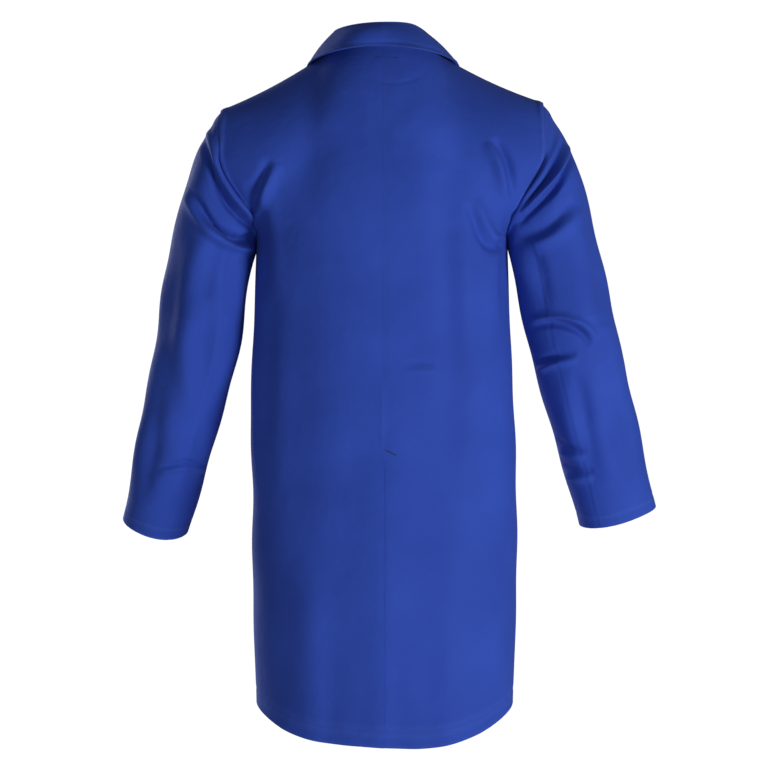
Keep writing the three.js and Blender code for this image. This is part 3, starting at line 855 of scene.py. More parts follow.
@dataclass
class Tailor:
    """Turns grids of points into cloth, and keeps the coat's finishes.

    Attributes:
        form: the shape that the coat hangs in.
        stitch_length: length of one stitch, and stitch_width its width.
        stitch_pitch: distance from one stitch to the next.
        stitch_look: how far along the row a stitch takes its direction from.
    """

    form: CoatForm = field(default_factory=CoatForm)
    stitch_length: float = 0.0023
    stitch_pitch: float = 0.0031
    stitch_width: float = 0.00052
    stitch_look: float = 0.001

    def __post_init__(self) -> None:
        """Makes the finishes."""
        self.shift = self.form.shift()
        self.twill = TwillFinish().make()
        self.thread = ThreadFinish("coat_thread", (0.034, 0.082, 0.430, 1)).make()
        self.dark_thread = ThreadFinish("tack_thread", (0.006, 0.016, 0.105, 1)).make()
        self.nickel = NickelFinish().make()
        self.tape = TapeFinish().make()

    def cut(self, surface: Surface, across: Array | int, up: Array | int, turned: bool) -> Cloth:
        """Cuts a grid out of one of the form's surfaces and moves it into the frame.

        Args:
            surface: points of the form at shares across and up.
            across: the shares across, or how many even ones. So is up, upwards.
            up: see across.
            turned: whether the grid's own normals point inwards.

        Returns:
            The cloth.
        """
        across, up = (np.linspace(0, 1, n) if isinstance(n, int) else n for n in (across, up))
        u, v = np.meshgrid(across, up, indexing="ij")
        return Cloth(surface(u, v) + self.shift, turned=turned)

    def mesh(self, name: str, points: Array, faces: Array, finish: bpy.types.Material) -> bpy.types.Object:
        """An object from points and equal-sided faces."""
        data = bpy.data.meshes.new(name)
        data.from_pydata(points.reshape(-1, 3).tolist(), [], faces.tolist())
        data.materials.append(finish)
        data.shade_smooth()
        piece = bpy.data.objects.new(name, data)
        bpy.context.scene.collection.objects.link(piece)
        return piece

    def sew(
        self,
        name: str,
        cloth: Cloth,
        hold: Hold,
        nodes: Sequence[str] = (),
        thick: float = CLOTH_THICK,
        finish: bpy.types.Material | None = None,
        slot: str = "coat_cloth",
        with_pieces: Sequence[bpy.types.Object] = (),
    ) -> bpy.types.Object:
        """Makes a piece of cloth and fastens it.

        Args:
            name: the piece's name.
            cloth: its grid of points.
            hold: what it moves with.
            nodes: CAD nodes that it stands for.
            thick: thickness, laid on the inside.
            finish: material, the coat's twill if left out.
            slot: name of a material slot; not used.
            with_pieces: stitches and the like that lie on it; not used.

        Returns:
            The object.
        """
        nu, nv = cloth.points.shape[:2]
        i, j = np.meshgrid(np.arange(nu if cloth.closed else nu - 1), np.arange(nv - 1), indexing="ij")
        a, b = (i * nv + j).ravel(), ((i + 1) % nu * nv + j).ravel()
        quads = np.stack([a, b, b + 1, a + 1], -1)
        across, up = cloth.steps(0), cloth.steps(1)
        if cloth.closed:
            across = np.append(across, across[-1] + across[1])
        corner_u = np.stack([across[i], across[i + 1], across[i + 1], across[i]], -1).reshape(-1, 4)
        corner_v = np.stack([up[j], up[j], up[j + 1], up[j + 1]], -1).reshape(-1, 4)
        if cloth.turned:
            quads, corner_u, corner_v = (grid[:, ::-1] for grid in (quads, corner_u, corner_v))
        piece = self.mesh(name, cloth.points, quads, finish or self.twill)
        grain = piece.data.uv_layers.new(name="grain")
        grain.data.foreach_set("uv", np.stack([corner_u, corner_v], -1).ravel().astype(np.float32))
        worn = piece.data.attributes.new("worn", "FLOAT", "POINT")
        worn.data.foreach_set("value", cloth.worn.ravel().astype(np.float32))
        self.sharpen(piece, nu, nv, cloth.closed)
        layer = piece.modifiers.new("thickness", "SOLIDIFY")
        layer.thickness, layer.offset = thick, -1
        if nodes:
            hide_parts(*nodes)
        hold.fasten(piece)
        width, length = cloth.size()
        min(cloth.area(), width * length)
        log.info("%s: %.0f x %.0f mm", name, 1000 * width, 1000 * length)
        return piece

    def sharpen(self, piece: bpy.types.Object, nu: int, nv: int, closed: bool) -> None:
        """Marks a grid's outer edges sharp, so that the cut edge doesn't shade the face."""
        ends = np.empty(len(piece.data.edges) * 2, dtype=int)
        piece.data.edges.foreach_get("vertices", ends)
        i, j = np.divmod(ends.reshape(-1, 2), nv)
        rim = (j[:, 0] == j[:, 1]) & np.isin(j[:, 0], (0, nv - 1))
        if not closed:
            rim |= (i[:, 0] == i[:, 1]) & np.isin(i[:, 0], (0, nu - 1))
        sharp = piece.data.attributes.new("sharp_edge", "BOOLEAN", "EDGE")
        sharp.data.foreach_set("value", rim)

    def beads(
        self, name: str, corners: Sequence[Array], finish: bpy.types.Material, hold: Hold
    ) -> bpy.types.Object:
        """Lengths of thread as eight-sided beads, all in one object.

        Args:
            name: the object's name.
            corners: the beads' two ends, two sides, top and bottom, each an array of points.
            finish: material of the thread.
            hold: what it moves with.

        Returns:
            The object.
        """
        one = [(0, 2, 4), (2, 1, 4), (1, 3, 4), (3, 0, 4), (2, 0, 5), (1, 2, 5), (3, 1, 5), (0, 3, 5)]
        faces = np.array(one)[None] + 6 * np.arange(len(corners[0]))[:, None, None]
        piece = self.mesh(name, np.stack(corners, 1), faces.reshape(-1, 3), finish)
        hold.fasten(piece)
        return piece

    def stitches(
        self, name: str, cloth: Cloth, lines: Sequence[Line], hold: Hold, lift: float = 0.0001
    ) -> bpy.types.Object:
        """Rows of thread stitches on a piece of cloth.

        Args:
            name: the object's name.
            cloth: the cloth that they lie on.
            lines: shares (across, up) along each row.
            hold: what the cloth moves with.
            lift: how far the thread's middle stands off the cloth.

        Returns:
            The object.
        """
        found = []
        for u, v in lines:
            points, normals = cloth.at(u, v)
            run = np.concatenate([[0], np.cumsum(np.linalg.norm(np.diff(points, axis=0), axis=1))])
            places = np.arange(self.stitch_pitch / 2, run[-1] - self.stitch_pitch / 2, self.stitch_pitch)
            normal = unit(along_run(places, run, normals))
            ahead = along_run(places + self.stitch_look, run, points)
            behind = along_run(places - self.stitch_look, run, points)
            found.append((along_run(places, run, points) + normal * lift, normal, unit(ahead - behind)))
        middle, normal, along = (np.concatenate(parts) for parts in zip(*found))
        half, wide = self.stitch_length / 2, self.stitch_width / 2
        reaches = (along * half, np.cross(normal, along) * wide, -normal * wide)
        corners = [middle + sign * reach for reach in reaches for sign in (-1, 1)]
        return self.beads(name, corners, self.thread, hold)


def along_run(places: Array, run: Array, values: Array) -> Array:
    """Vectors read at places along a run."""
    return np.stack([np.interp(places, run, values[:, k]) for k in range(3)], -1)


def row(v: float, start: float = 0.004, end: float = 0.996, count: int = 240) -> Line:
    """A line across a grid at one share of the way up."""
    return np.linspace(start, end, count), np.full(count, v)


def column(u: float, start: float = 0.003, end: float = 0.997, count: int = 300) -> Line:
    """A line up a grid at one share of the way across."""
    return np.full(count, u), np.linspace(start, end, count)


def above_armpit(up: Array) -> Array:
    """1 on a panel's side edge above the armpit and 0 below it, as a column."""
    return smooth((up - 0.5) / 0.02)[:, None]


# ---------------------------------------------------------------- the coat's sub-assemblies
SIDES = (("left", 1), ("right", -1))  # the wearer's sides, with the sign of X on each


@dataclass
class BackPanels:
    """The two halves of the back, joined at the centre back down to the vent.

    Attributes:
        tailor: who cuts and sews.
        vent_top: top of the vent, in the form's height.
        underlap_width: width of the layer under the vent.
        hem_depth: depth of the turned-up hem.
        columns: grid points across each half, and rows up it.
        seam_stitch_from: height above the hem from which the right half's centre edge is stitched.
        seam_stitch_inset: distance of that stitching from the edge.
        lap: how far the left half reaches over the right one along the vent, and proud how far out.
        fold_out: direction in which the corner's outer side lies at the vent's fold line, for a fold that is
            not made.
        sewn: the two halves' cloth, once it is made.
    """

    tailor: Tailor
    vent_top: float = -0.570
    underlap_width: float = 0.040
    hem_depth: float = HEM_DEPTH
    columns: int = 64
    rows: int = 250
    seam_stitch_from: float = 0.34
    seam_stitch_inset: float = 0.0045
    lap: float = 0.0030
    proud: float = 0.0024
    fold_out: tuple[float, float, float] = (-0.9648, 0.0, -0.2623)
    sewn: list[Cloth] = field(default_factory=list)

    def creases(self) -> list[Crease]:
        """The folds that the worn back has."""
        return [
            Crease(((-0.160, -0.120), (-0.179, -0.155), (-0.190, -0.205)), 0.007, 0.0105, 0.9, 1),
            Crease(((-0.122, -0.2135), (-0.150, -0.270), (-0.184, -0.268)), 0.007, 0.0105, 0.8, -1),
            Crease(((0.160, -0.150), (0.178, -0.190), (0.196, -0.232)), 0.007, 0.0100, 0.8, -1),
            Crease(
                ((0.190, -0.180), (0.176, -0.230), (0.170, -0.300), (0.174, -0.350)),
                0.010, 0.0060, 0.5, -1,
            ),
            Crease(
                ((-0.190, -0.215), (-0.182, -0.270), (-0.178, -0.330), (-0.180, -0.380)),
                0.010, 0.0055, 0.5, 1,
            ),
            Crease(
                ((-0.082, -0.170), (-0.096, -0.300), (-0.104, -0.420), (-0.098, -0.585)),
                0.021, 0.0075, 0.8, -1,
            ),
            Crease(((-0.130, -0.250), (-0.138, -0.350), (-0.136, -0.470)), 0.014, 0.0050, 0.8, 1),
            Crease(((-0.030, -0.4465), (-0.060, -0.4450), (-0.087, -0.4485)), 0.0034, 0.0036, 0.9, 1),
            Crease(((-0.008, -0.470), (-0.0085, -0.520), (-0.007, -0.567)), 0.0035, 0.0016, 0.9, 1),
            Crease(
                ((0.112, -0.260), (0.122, -0.400), (0.118, -0.560), (0.126, -0.760)),
                0.034, 0.0036, 0.8, 1,
            ),
            Crease(
                ((0.050, -0.520), (0.046, -0.640), (0.056, -0.820), (0.050, -0.985)),
                0.036, 0.0018, 0.8, -1,
            ),
            Crease(
                ((-0.062, -0.520), (-0.070, -0.700), (-0.060, -0.860), (-0.072, -0.988)),
                0.036, 0.0020, 0.8, 1,
            ),
            Crease(
                ((-0.140, -0.420), (-0.150, -0.600), (-0.146, -0.780), (-0.152, -0.975)),
                0.026, 0.0028, 0.7, 1,
            ),
            Crease(
                ((0.156, -0.300), (0.164, -0.400), (0.170, -0.520), (0.170, -0.640)),
                0.016, 0.0050, 0.7, 1,
            ),
            Crease(
                ((0.150, -0.720), (0.140, -0.800), (0.146, -0.900), (0.140, -0.965)),
                0.022, 0.0030, 0.7, -1,
            ),
            Crease(
                ((-0.020, -0.120), (-0.070, -0.135), (-0.120, -0.170), (-0.150, -0.215)),
                0.028, 0.0040, 0.7, -1,
            ),
            Crease(
                ((0.030, -0.110), (0.080, -0.130), (0.125, -0.175), (0.155, -0.225)),
                0.030, 0.0045, 0.7, 1,
            ),
        ]

    def moon(self, x: Array, z: Array) -> Array:
        """The faint edge of the half-moon facing that presses through from the inside."""
        middle, half, drop = -0.016, 0.062, 0.055
        share = np.clip(1 - ((x - middle) / half) ** 2, 0, 1)
        edge = 0.014 - drop * np.sqrt(share)
        return -0.0007 * bell(z - edge, 0.0022) * smooth(share * 6)

    def whole(self) -> Cloth:
        """Both halves as one cloth, from the right side seam to the left one, with every fold."""
        t = self.tailor
        right, left = (
            t.cut(lambda u, v: t.form.back(side, u, v), self.columns, self.rows, turned=True)
            for side in (-1, 1)
        )
        cloth = Cloth(np.concatenate([right.points[:0:-1], left.points]), turned=True)
        above = above_armpit(np.linspace(0, 1, self.rows))
        edges = cloth.points[0].copy(), cloth.points[-1].copy()
        cloth.relaxed(260, give=0.42)
        cloth.creased(self.creases(), Facing.BACK, t.shift)
        x, z = cloth.points[..., 0] - t.shift[0], cloth.points[..., 2] - t.shift[2]
        cloth.raised(self.moon(x, z) - 0.00025 * bell(x, 0.0018))
        loose = smooth((t.form.armpit[2] - z) / 0.3)
        cloth.points[..., 2] -= 0.0060 * smooth((-0.78 - z) / 0.18) * bell(x + 0.060, 0.085)
        scallop = 0.0013 * np.sin(x * 62 + 0.6) + 0.0007 * np.sin(x * 131 + 1.3)
        cloth.points[..., 1] += scallop * smooth((-0.66 - z) / 0.32)
        cloth.raised(0.0009 * np.sin(z * 47 + x * 18) * loose * smooth((0.95 + z) / 0.3))
        cloth.seamed(both=True, depth=0.0015)
        cloth.eased((edges[0] - cloth.points[0]) * above, 0, False, ARMHOLE_EASE)
        cloth.eased((edges[1] - cloth.points[-1]) * above, 0, True, ARMHOLE_EASE)
        return cloth.hemmed(self.hem_depth, rub=0.5, edge_rub=0.7, edge_width=0.003)

    def half(self, side: float) -> Cloth:
        """The cloth of one half, from the centre to the side seam."""
        if not self.sewn:
            self.sewn.append(self.whole())
        both, middle = self.sewn[0], self.columns - 1
        pick = slice(middle, None) if side > 0 else slice(middle, None, -1)
        cloth = Cloth(both.points[pick].copy(), turned=side > 0, worn=both.worn[pick].copy())
        if side > 0:
            near = 1 - smooth(np.linspace(0, 1, self.columns)[:, None] / 0.16)
            z = cloth.points[..., 2] - self.tailor.shift[2]
            over = near * smooth((self.vent_top - z) / 0.02)
            cloth.points[..., 0] -= self.lap * over
            cloth.points[..., 1] += self.proud * over
        return cloth

    def hold(self, side: float) -> Hold:
        """How a half is fastened: the left one is given a fold at the vent, which is not made, and stays in
        place.
        """
        if side < 0:
            return COAT
        outward = np.array(self.fold_out)
        fold = np.array([0.0, 0.0, self.vent_top]) + self.tailor.shift * (0, 0, 1)
        return Hold("coat", "vent", tuple(fold - 0.007 * outward), tuple(fold + 0.007 * outward))

    def build(self) -> None:
        """Sews the back."""
        t = self.tailor
        for name, side in SIDES:
            cloth = self.half(side)
            hold = self.hold(side)
            lines = [row(cloth.across_at(self.hem_depth - STITCH_INSIDE))]
            if side < 0:
                low = cloth.across_at(self.seam_stitch_from)
                lines.append(column(cloth.up_at(self.seam_stitch_inset), low, 0.992))
            rows = t.stitches(f"{name}_back_stitches", cloth, lines, hold)
            nodes = ["left_back_panel", "vent_flap"] if side > 0 else ["right_back_panel"]
            t.sew(f"{name}_back", cloth, hold, nodes, with_pieces=[rows])
            hem = cloth.layer((0, 1, 64), (0.0, cloth.across_at(self.hem_depth), 7))
            t.sew(f"{name}_back_hem", hem, hold)
        self.vent()
        self.tack("vent_tack", (-0.020, -0.573), (-0.006, -0.566))
        self.tack("loop_tack", (-0.026, -0.003), (0.010, -0.001))

    def vent(self) -> None:
        """The straight extension of the right half that lies under the left one."""
        t = self.tailor
        left = self.half(1)
        shares = np.linspace(0, 1, self.rows)
        top = float(np.interp(self.vent_top + t.shift[2], left.points[0, :, 2], shares))
        across = np.linspace(0, left.up_at(self.underlap_width), 12)
        u, v = np.meshgrid(across, np.linspace(0.006, top, 90), indexing="ij")
        points, normals = left.at(u, v)
        points[..., 0] += 0.0040 * (1 - u / across[-1])
        under = self.proud + self.proud * (1 - smooth(u / across[4]))
        cloth = Cloth(points - normals * under[..., None], turned=True)
        rows = t.stitches("vent_underlap_stitches", cloth, [column(0.90)], COAT)
        t.sew("vent_underlap_cloth", cloth, COAT, ["vent_underlap"], with_pieces=[rows])

    def tack(self, name: str, start: tuple[float, float], end: tuple[float, float]) -> None:
        """A close row of short stitches on the back, from one point (x, z) of the form to another."""
        t = self.tailor
        grid = self.half(-1).points.reshape(-1, 3) - t.shift
        middle = []
        for x, z in zip(np.linspace(start[0], end[0], 30), np.linspace(start[1], end[1], 30)):
            near = np.argmin((grid[:, 0] + abs(x)) ** 2 + (grid[:, 2] - z) ** 2)
            middle.append((x, grid[near, 1] + 0.0004, z))
        points = np.array(middle) + t.shift
        run = unit(points[-1] - points[0])
        out = np.array([0.0, 1.0, 0.0])
        reaches = (-0.0011 * unit(np.cross(out, run)), 0.0003 * run, 0.0004 * out)
        t.beads(name, [points + sign * reach for reach in reaches for sign in (1, -1)], t.dark_thread, COAT)


@dataclass
class Fronts:
    """The two fronts: side fronts, opening edges with facings, lapels and press studs.

    Attributes:
        tailor: who cuts and sews.
        back: the back, to whose side seams the fronts are sewn.
        hem_depth: depth of the turned-up hem.
        snap_top: height of the highest press stud, in the form.
        snap_pitch: distance between press studs.
        snaps: number of press studs.
        snap_dent: depth of the dent round each press stud, and snap_reach its half width.
        facing_width: width of the facing behind the opening edge.
        lapel_tip: where the lapel's point lies (x, z) on the left, in the form.
        lapel_stitch: distance of the lapel's topstitching from its edges.
        rows: grid points up a side front.
        samples: points of each front's chest, once they are taken.
    """

    tailor: Tailor
    back: BackPanels
    hem_depth: float = HEM_DEPTH
    snap_top: float = -0.285
    snap_pitch: float = 0.125
    snaps: int = 5
    snap_dent: float = 0.0007
    snap_reach: float = 0.011
    facing_width: float = 0.070
    lapel_tip: tuple[float, float] = (0.124, -0.066)
    lapel_stitch: float = 0.006
    rows: int = 220
    samples: dict[float, Array] = field(default_factory=dict)

    def creases(self, side: float) -> list[Crease]:
        """The folds of one front."""
        s = side
        return [
            Crease(((s * 0.166, -0.170), (s * 0.150, -0.200), (s * 0.128, -0.214)), 0.010, 0.004, 0.7, s),
            Crease(((s * 0.178, -0.262), (s * 0.150, -0.292), (s * 0.118, -0.306)), 0.012, 0.004, 0.7, s),
            Crease(((s * 0.150, -0.330), (s * 0.154, -0.430), (s * 0.150, -0.540)), 0.016, 0.0035, 0.7, -s),
            Crease(((s * 0.134, -0.740), (s * 0.140, -0.860), (s * 0.136, -0.968)), 0.018, 0.0030, 0.7, s),
            Crease(((s * 0.160, -0.760), (s * 0.168, -0.870), (s * 0.162, -0.960)), 0.026, 0.0040, 0.7, -s),
        ]

    def side_front(self, side: float) -> Cloth:
        """The front beside the opening edge, from shoulder to hem."""
        t = self.tailor
        cloth = t.cut(lambda u, v: t.form.side_front(side, u, v), 40, self.rows, turned=side < 0)
        edge = cloth.points[-1].copy()
        above = above_armpit(np.linspace(0, 1, self.rows))
        cloth.relaxed(30)
        cloth.creased(self.creases(side), Facing.FRONT, t.shift)
        cloth.seamed(both=False, depth=0.0012)
        cloth.eased((edge - cloth.points[-1]) * above, 0, True, ARMHOLE_EASE)
        cloth.hemmed(self.hem_depth)
        self.join_side(cloth, self.back.half(side))
        return cloth

    def join_side(self, cloth: Cloth, back: Cloth) -> None:
        """Brings the front's side edge on to the back's, below the armpit."""
        up, back_up = (np.linspace(0, 1, c.points.shape[1]) for c in (cloth, back))
        move = along_run(up, back_up, back.points[-1]) - cloth.points[-1]
        cloth.eased(move * (1 - above_armpit(up)), 0, True, 0.030)

    def edge(self, side: float) -> Cloth:
        """The opening edge below the break."""
        t = self.tailor
        cloth = t.cut(lambda u, v: t.form.front_edge(side, u, v), 24, 170, turned=side > 0)
        x, z = cloth.points[..., 0], cloth.points[..., 2]
        share = np.linspace(0, 1, 24)[:, None]
        for i in range(self.snaps):
            away = np.hypot(x, z - (self.snap_top - i * self.snap_pitch) - t.shift[2])
            cloth.raised(-self.snap_dent * bell(away, self.snap_reach))
        cloth.raised(0.0016 * np.sin(z * 50.3 + side) * share**2 * smooth((-0.30 - z) / 0.1))
        cloth.hemmed(self.hem_depth)
        across = cloth.steps(0)
        from_edge = (across[-1] - across)[:, None]
        cloth.raised(-0.0005 * bell(np.abs(from_edge - EDGE_STITCH), PRESS_WIDTH))
        return cloth.rubbed(bell(from_edge, 0.004))

    def lapel(self, side: float) -> Cloth:
        """The turned-back leaf above the break."""
        t = self.tailor
        tip = np.array(self.lapel_tip) * (side, 1)

        def surface(u: Array, v: Array) -> Array:
            """The leaf, from the roll line (u = 0) out over the chest (1)."""
            inner = t.form.roll_line(side, lerp(0.10, 0.94, v))
            low = t.form.roll_line(side, np.full(1, 0.10))[0][[0, 2]]
            bow = (0.014 * np.sin(math.pi * v))[..., None]
            outer = lerp(low, tip, v[..., None]) + bow * np.array([side, -0.55])
            xz = lerp(inner[..., [0, 2]], outer, u[..., None])
            chest = self.chest_y(side, xz[..., 0], xz[..., 1])
            proud = 0.0042 + 0.011 * v**1.3 + 0.004 * np.sin(math.pi * np.clip(u, 0, 1)) * v
            y = lerp(inner[..., 1], chest - proud, smooth(u * 2.6))
            return stack(xz[..., 0], y, xz[..., 1])

        return t.cut(surface, 26, 50, turned=side < 0)

    def chest_y(self, side: float, x: Array, z: Array) -> Array:
        """How far forward the chest is at x and z, read from a sample of the fronts."""
        if side not in self.samples:
            form = self.tailor.form
            u, v = np.meshgrid(np.linspace(0, 1, 60), np.linspace(0.5, 1, 60), indexing="ij")
            w, k = np.meshgrid(np.linspace(0, 1, 40), np.linspace(0, 1, 60), indexing="ij")
            points = form.side_front(side, u, v), form.upper_front(side, w, k)
            self.samples[side] = np.concatenate([p.reshape(-1, 3) for p in points])
        sample = self.samples[side]
        gaps = (x[..., None] - sample[:, 0]) ** 2 + (z[..., None] - sample[:, 2]) ** 2
        weights = 1 / (gaps + 2e-6) ** 2
        return (weights * sample[:, 1]).sum(-1) / weights.sum(-1)

    def build(self) -> None:
        """Sews both fronts."""
        for name, side in SIDES:
            self.sew_side_front(name, side)
            self.sew_edge(name, side)
            self.sew_upper(name, side)
        self.snap_row()

    def sew_side_front(self, name: str, side: float) -> None:
        """Sews the front beside the opening edge, and its hem."""
        t = self.tailor
        cloth = self.side_front(side)
        line = row(cloth.across_at(self.hem_depth - STITCH_INSIDE))
        rows = t.stitches(f"{name}_side_front_stitches", cloth, [line], COAT)
        t.sew(f"{name}_side_front_cloth", cloth, COAT, [f"{name}_side_front"], with_pieces=[rows])
        hem = cloth.layer((0, 1, 40), (0, cloth.across_at(self.hem_depth), 7))
        t.sew(f"{name}_side_front_hem", hem, COAT)

    def sew_edge(self, name: str, side: float) -> None:
        """Sews the opening edge below the break, with its facing."""
        t = self.tailor
        cloth = self.edge(side)
        hold = Hold(f"{name}_front")
        line = row(cloth.across_at(self.hem_depth - STITCH_INSIDE))
        lines = [column(cloth.up_at(EDGE_STITCH, from_end=True)), line]
        rows = t.stitches(f"{name}_edge_stitches", cloth, lines, hold)
        t.sew(f"{name}_edge_cloth", cloth, hold, [f"{name}_front_edge"], with_pieces=[rows])
        start = cloth.up_at(self.facing_width, from_end=True)
        facing = cloth.layer((start, 0.997, 18), (0.004, 1, 120), CLOTH_THICK + 0.0005)
        t.sew(f"{name}_facing_cloth", facing, hold, [f"{name}_front_facing"])

    def sew_upper(self, name: str, side: float) -> None:
        """Sews the front above the break, and its lapel; their bend with the opening front is given but not
        made.
        """
        t = self.tailor
        z = t.shift[2]
        hold = Hold("coat", f"{name}_front", (0, 0, -0.060 + z), (0, 0, -0.258 + z))
        upper = t.cut(lambda u, v: t.form.upper_front(side, u, v), 20, 56, turned=side > 0)
        t.sew(f"{name}_upper_cloth", upper, hold, [f"{name}_front_upper"])
        leaf = self.lapel(side)
        leaf.rubbed(bell((leaf.steps(0)[-1] - leaf.steps(0))[:, None], 0.003))
        lines = [
            column(leaf.up_at(self.lapel_stitch, from_end=True), 0.08, 0.96),
            row(leaf.across_at(self.lapel_stitch, from_top=True), 0.1, 0.93),
        ]
        rows = t.stitches(f"{name}_lapel_stitches", leaf, lines, hold)
        t.sew(f"{name}_lapel_cloth", leaf, hold, [f"{name}_lapel"], thick=0.0014, with_pieces=[rows])

    def snap_row(self) -> None:
        """The press studs: caps and sockets on the left edge, studs and rings on the right one."""
        for i in range(1, self.snaps + 1):
            for part in SnapPart:
                self.turned_part(f"snap_{part.name.lower()}_{i}", part.profile, part.body)

    def turned_part(self, node: str, profile: Sequence[tuple[float, float]], body: str) -> None:
        """A round part turned about Y in the middle of its CAD node.

        Args:
            node: the CAD node.
            profile: (radius, depth) pairs in millimetres, with depth towards the wearer.
            body: what it rides on.
        """
        t = self.tailor
        x, y, z = ((a + b) / 2 for a, b in zip(*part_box(node)))
        around = 40
        turn = np.linspace(0, 2 * math.pi, around, endpoint=False)
        points = [
            stack(x + r / 1000 * np.cos(turn), y + d / 1000, z + r / 1000 * np.sin(turn)) for r, d in profile
        ]
        k, i = np.meshgrid(np.arange(len(profile) - 1), np.arange(around), indexing="ij")
        a, b = (k * around + i).ravel(), (k * around + (i + 1) % around).ravel()
        faces = np.stack([a, b, b + around, a + around], -1)
        piece = t.mesh(f"{node}_metal", np.concatenate(points), faces, t.nickel)
        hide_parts(node)
        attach(piece, body)


class SnapPart(Enum):
    """The four parts of a press stud, with what each rides on and its turned profile in mm."""

    CAP = (
        "left_front",
        ((0, -1.9), (3, -1.8), (5.5, -1.3), (7, -0.6), (7.5, 0), (7.2, 0.2), (0, 0.2)),
    )
    SOCKET = (
        "left_front",
        ((0, 0.2), (5.8, 0.2), (6, 0.7), (5, 1.2), (3.4, 1.4), (2.8, 1.1), (2.2, 0.5), (0, 0.5)),
    )
    STUD = (
        "right_front",
        ((0, -1.6), (1.4, -1.5), (1.9, -0.9), (1.8, -0.3), (3, 0.1), (5, 0.1), (5.2, 0.4), (0, 0.4)),
    )
    RING = (
        "right_front",
        ((3, -0.1), (6.2, -0.1), (6.4, 0.4), (5.8, 0.9), (3.6, 0.9), (3, 0.4), (3, -0.1)),
    )

    def __init__(self, body: str, profile: tuple[tuple[float, float], ...]) -> None:
        """Keeps the body and the profile."""
        self.body, self.profile = body, profile


@dataclass
class Pocket:
    """A patch pocket on one of the side fronts.

    Attributes:
        name: its name, also that of its CAD node.
        side: the side of the coat.
        across: where it lies across the side front.
        up: where it lies up the side front.
        belly: how far its mouth stands off the front.
        hem_depth: depth of the hem at its mouth.
        inset: distance of the stitching from its other edges.
    """

    name: str
    side: float
    across: tuple[float, float]
    up: tuple[float, float]
    belly: float
    hem_depth: float
    inset: float = 0.0025

    def build(self, tailor: Tailor, front: Cloth) -> None:
        """Sews the pocket on the front's cloth."""
        u, v = np.meshgrid(np.linspace(*self.across, 34), np.linspace(*self.up, 40), indexing="ij")
        points, normals = front.at(u, v)
        s, t = np.meshgrid(np.linspace(0, 1, 34), np.linspace(0, 1, 40), indexing="ij")
        stand = 0.0012 + self.belly * np.sin(math.pi * s) ** 1.4 * smooth(t * 1.1)
        cloth = Cloth(points + normals * stand[..., None], turned=front.turned)
        width, length = cloth.steps(0)[:, None], cloth.steps(1)[None]
        hem = cloth.across_at(self.hem_depth, from_top=True)
        cloth.raised(-0.0005 * bell(length[0, -1] - length - self.hem_depth, PRESS_WIDTH))
        for distance in (width, width[-1] - width, length, length[0, -1] - length):
            cloth.rubbed(bell(distance, 0.003))
        left, right = cloth.up_at(self.inset), cloth.up_at(self.inset, from_end=True)
        low = cloth.across_at(self.inset)
        sides = [column(end, low, 0.995) for end in (left, right)]
        lines = [*sides, row(low, left, right), row(hem, 0.02, 0.98)]
        rows = tailor.stitches(f"{self.name}_stitches", cloth, lines, COAT)
        tailor.sew(f"{self.name}_cloth", cloth, COAT, [self.name], with_pieces=[rows])
        inner = cloth.layer((0.02, 0.98, 30), (hem, 0.995, 8), CLOTH_THICK + 0.0003)
        tailor.sew(f"{self.name}_inner_hem", inner, COAT, [f"{self.name}_hem"])


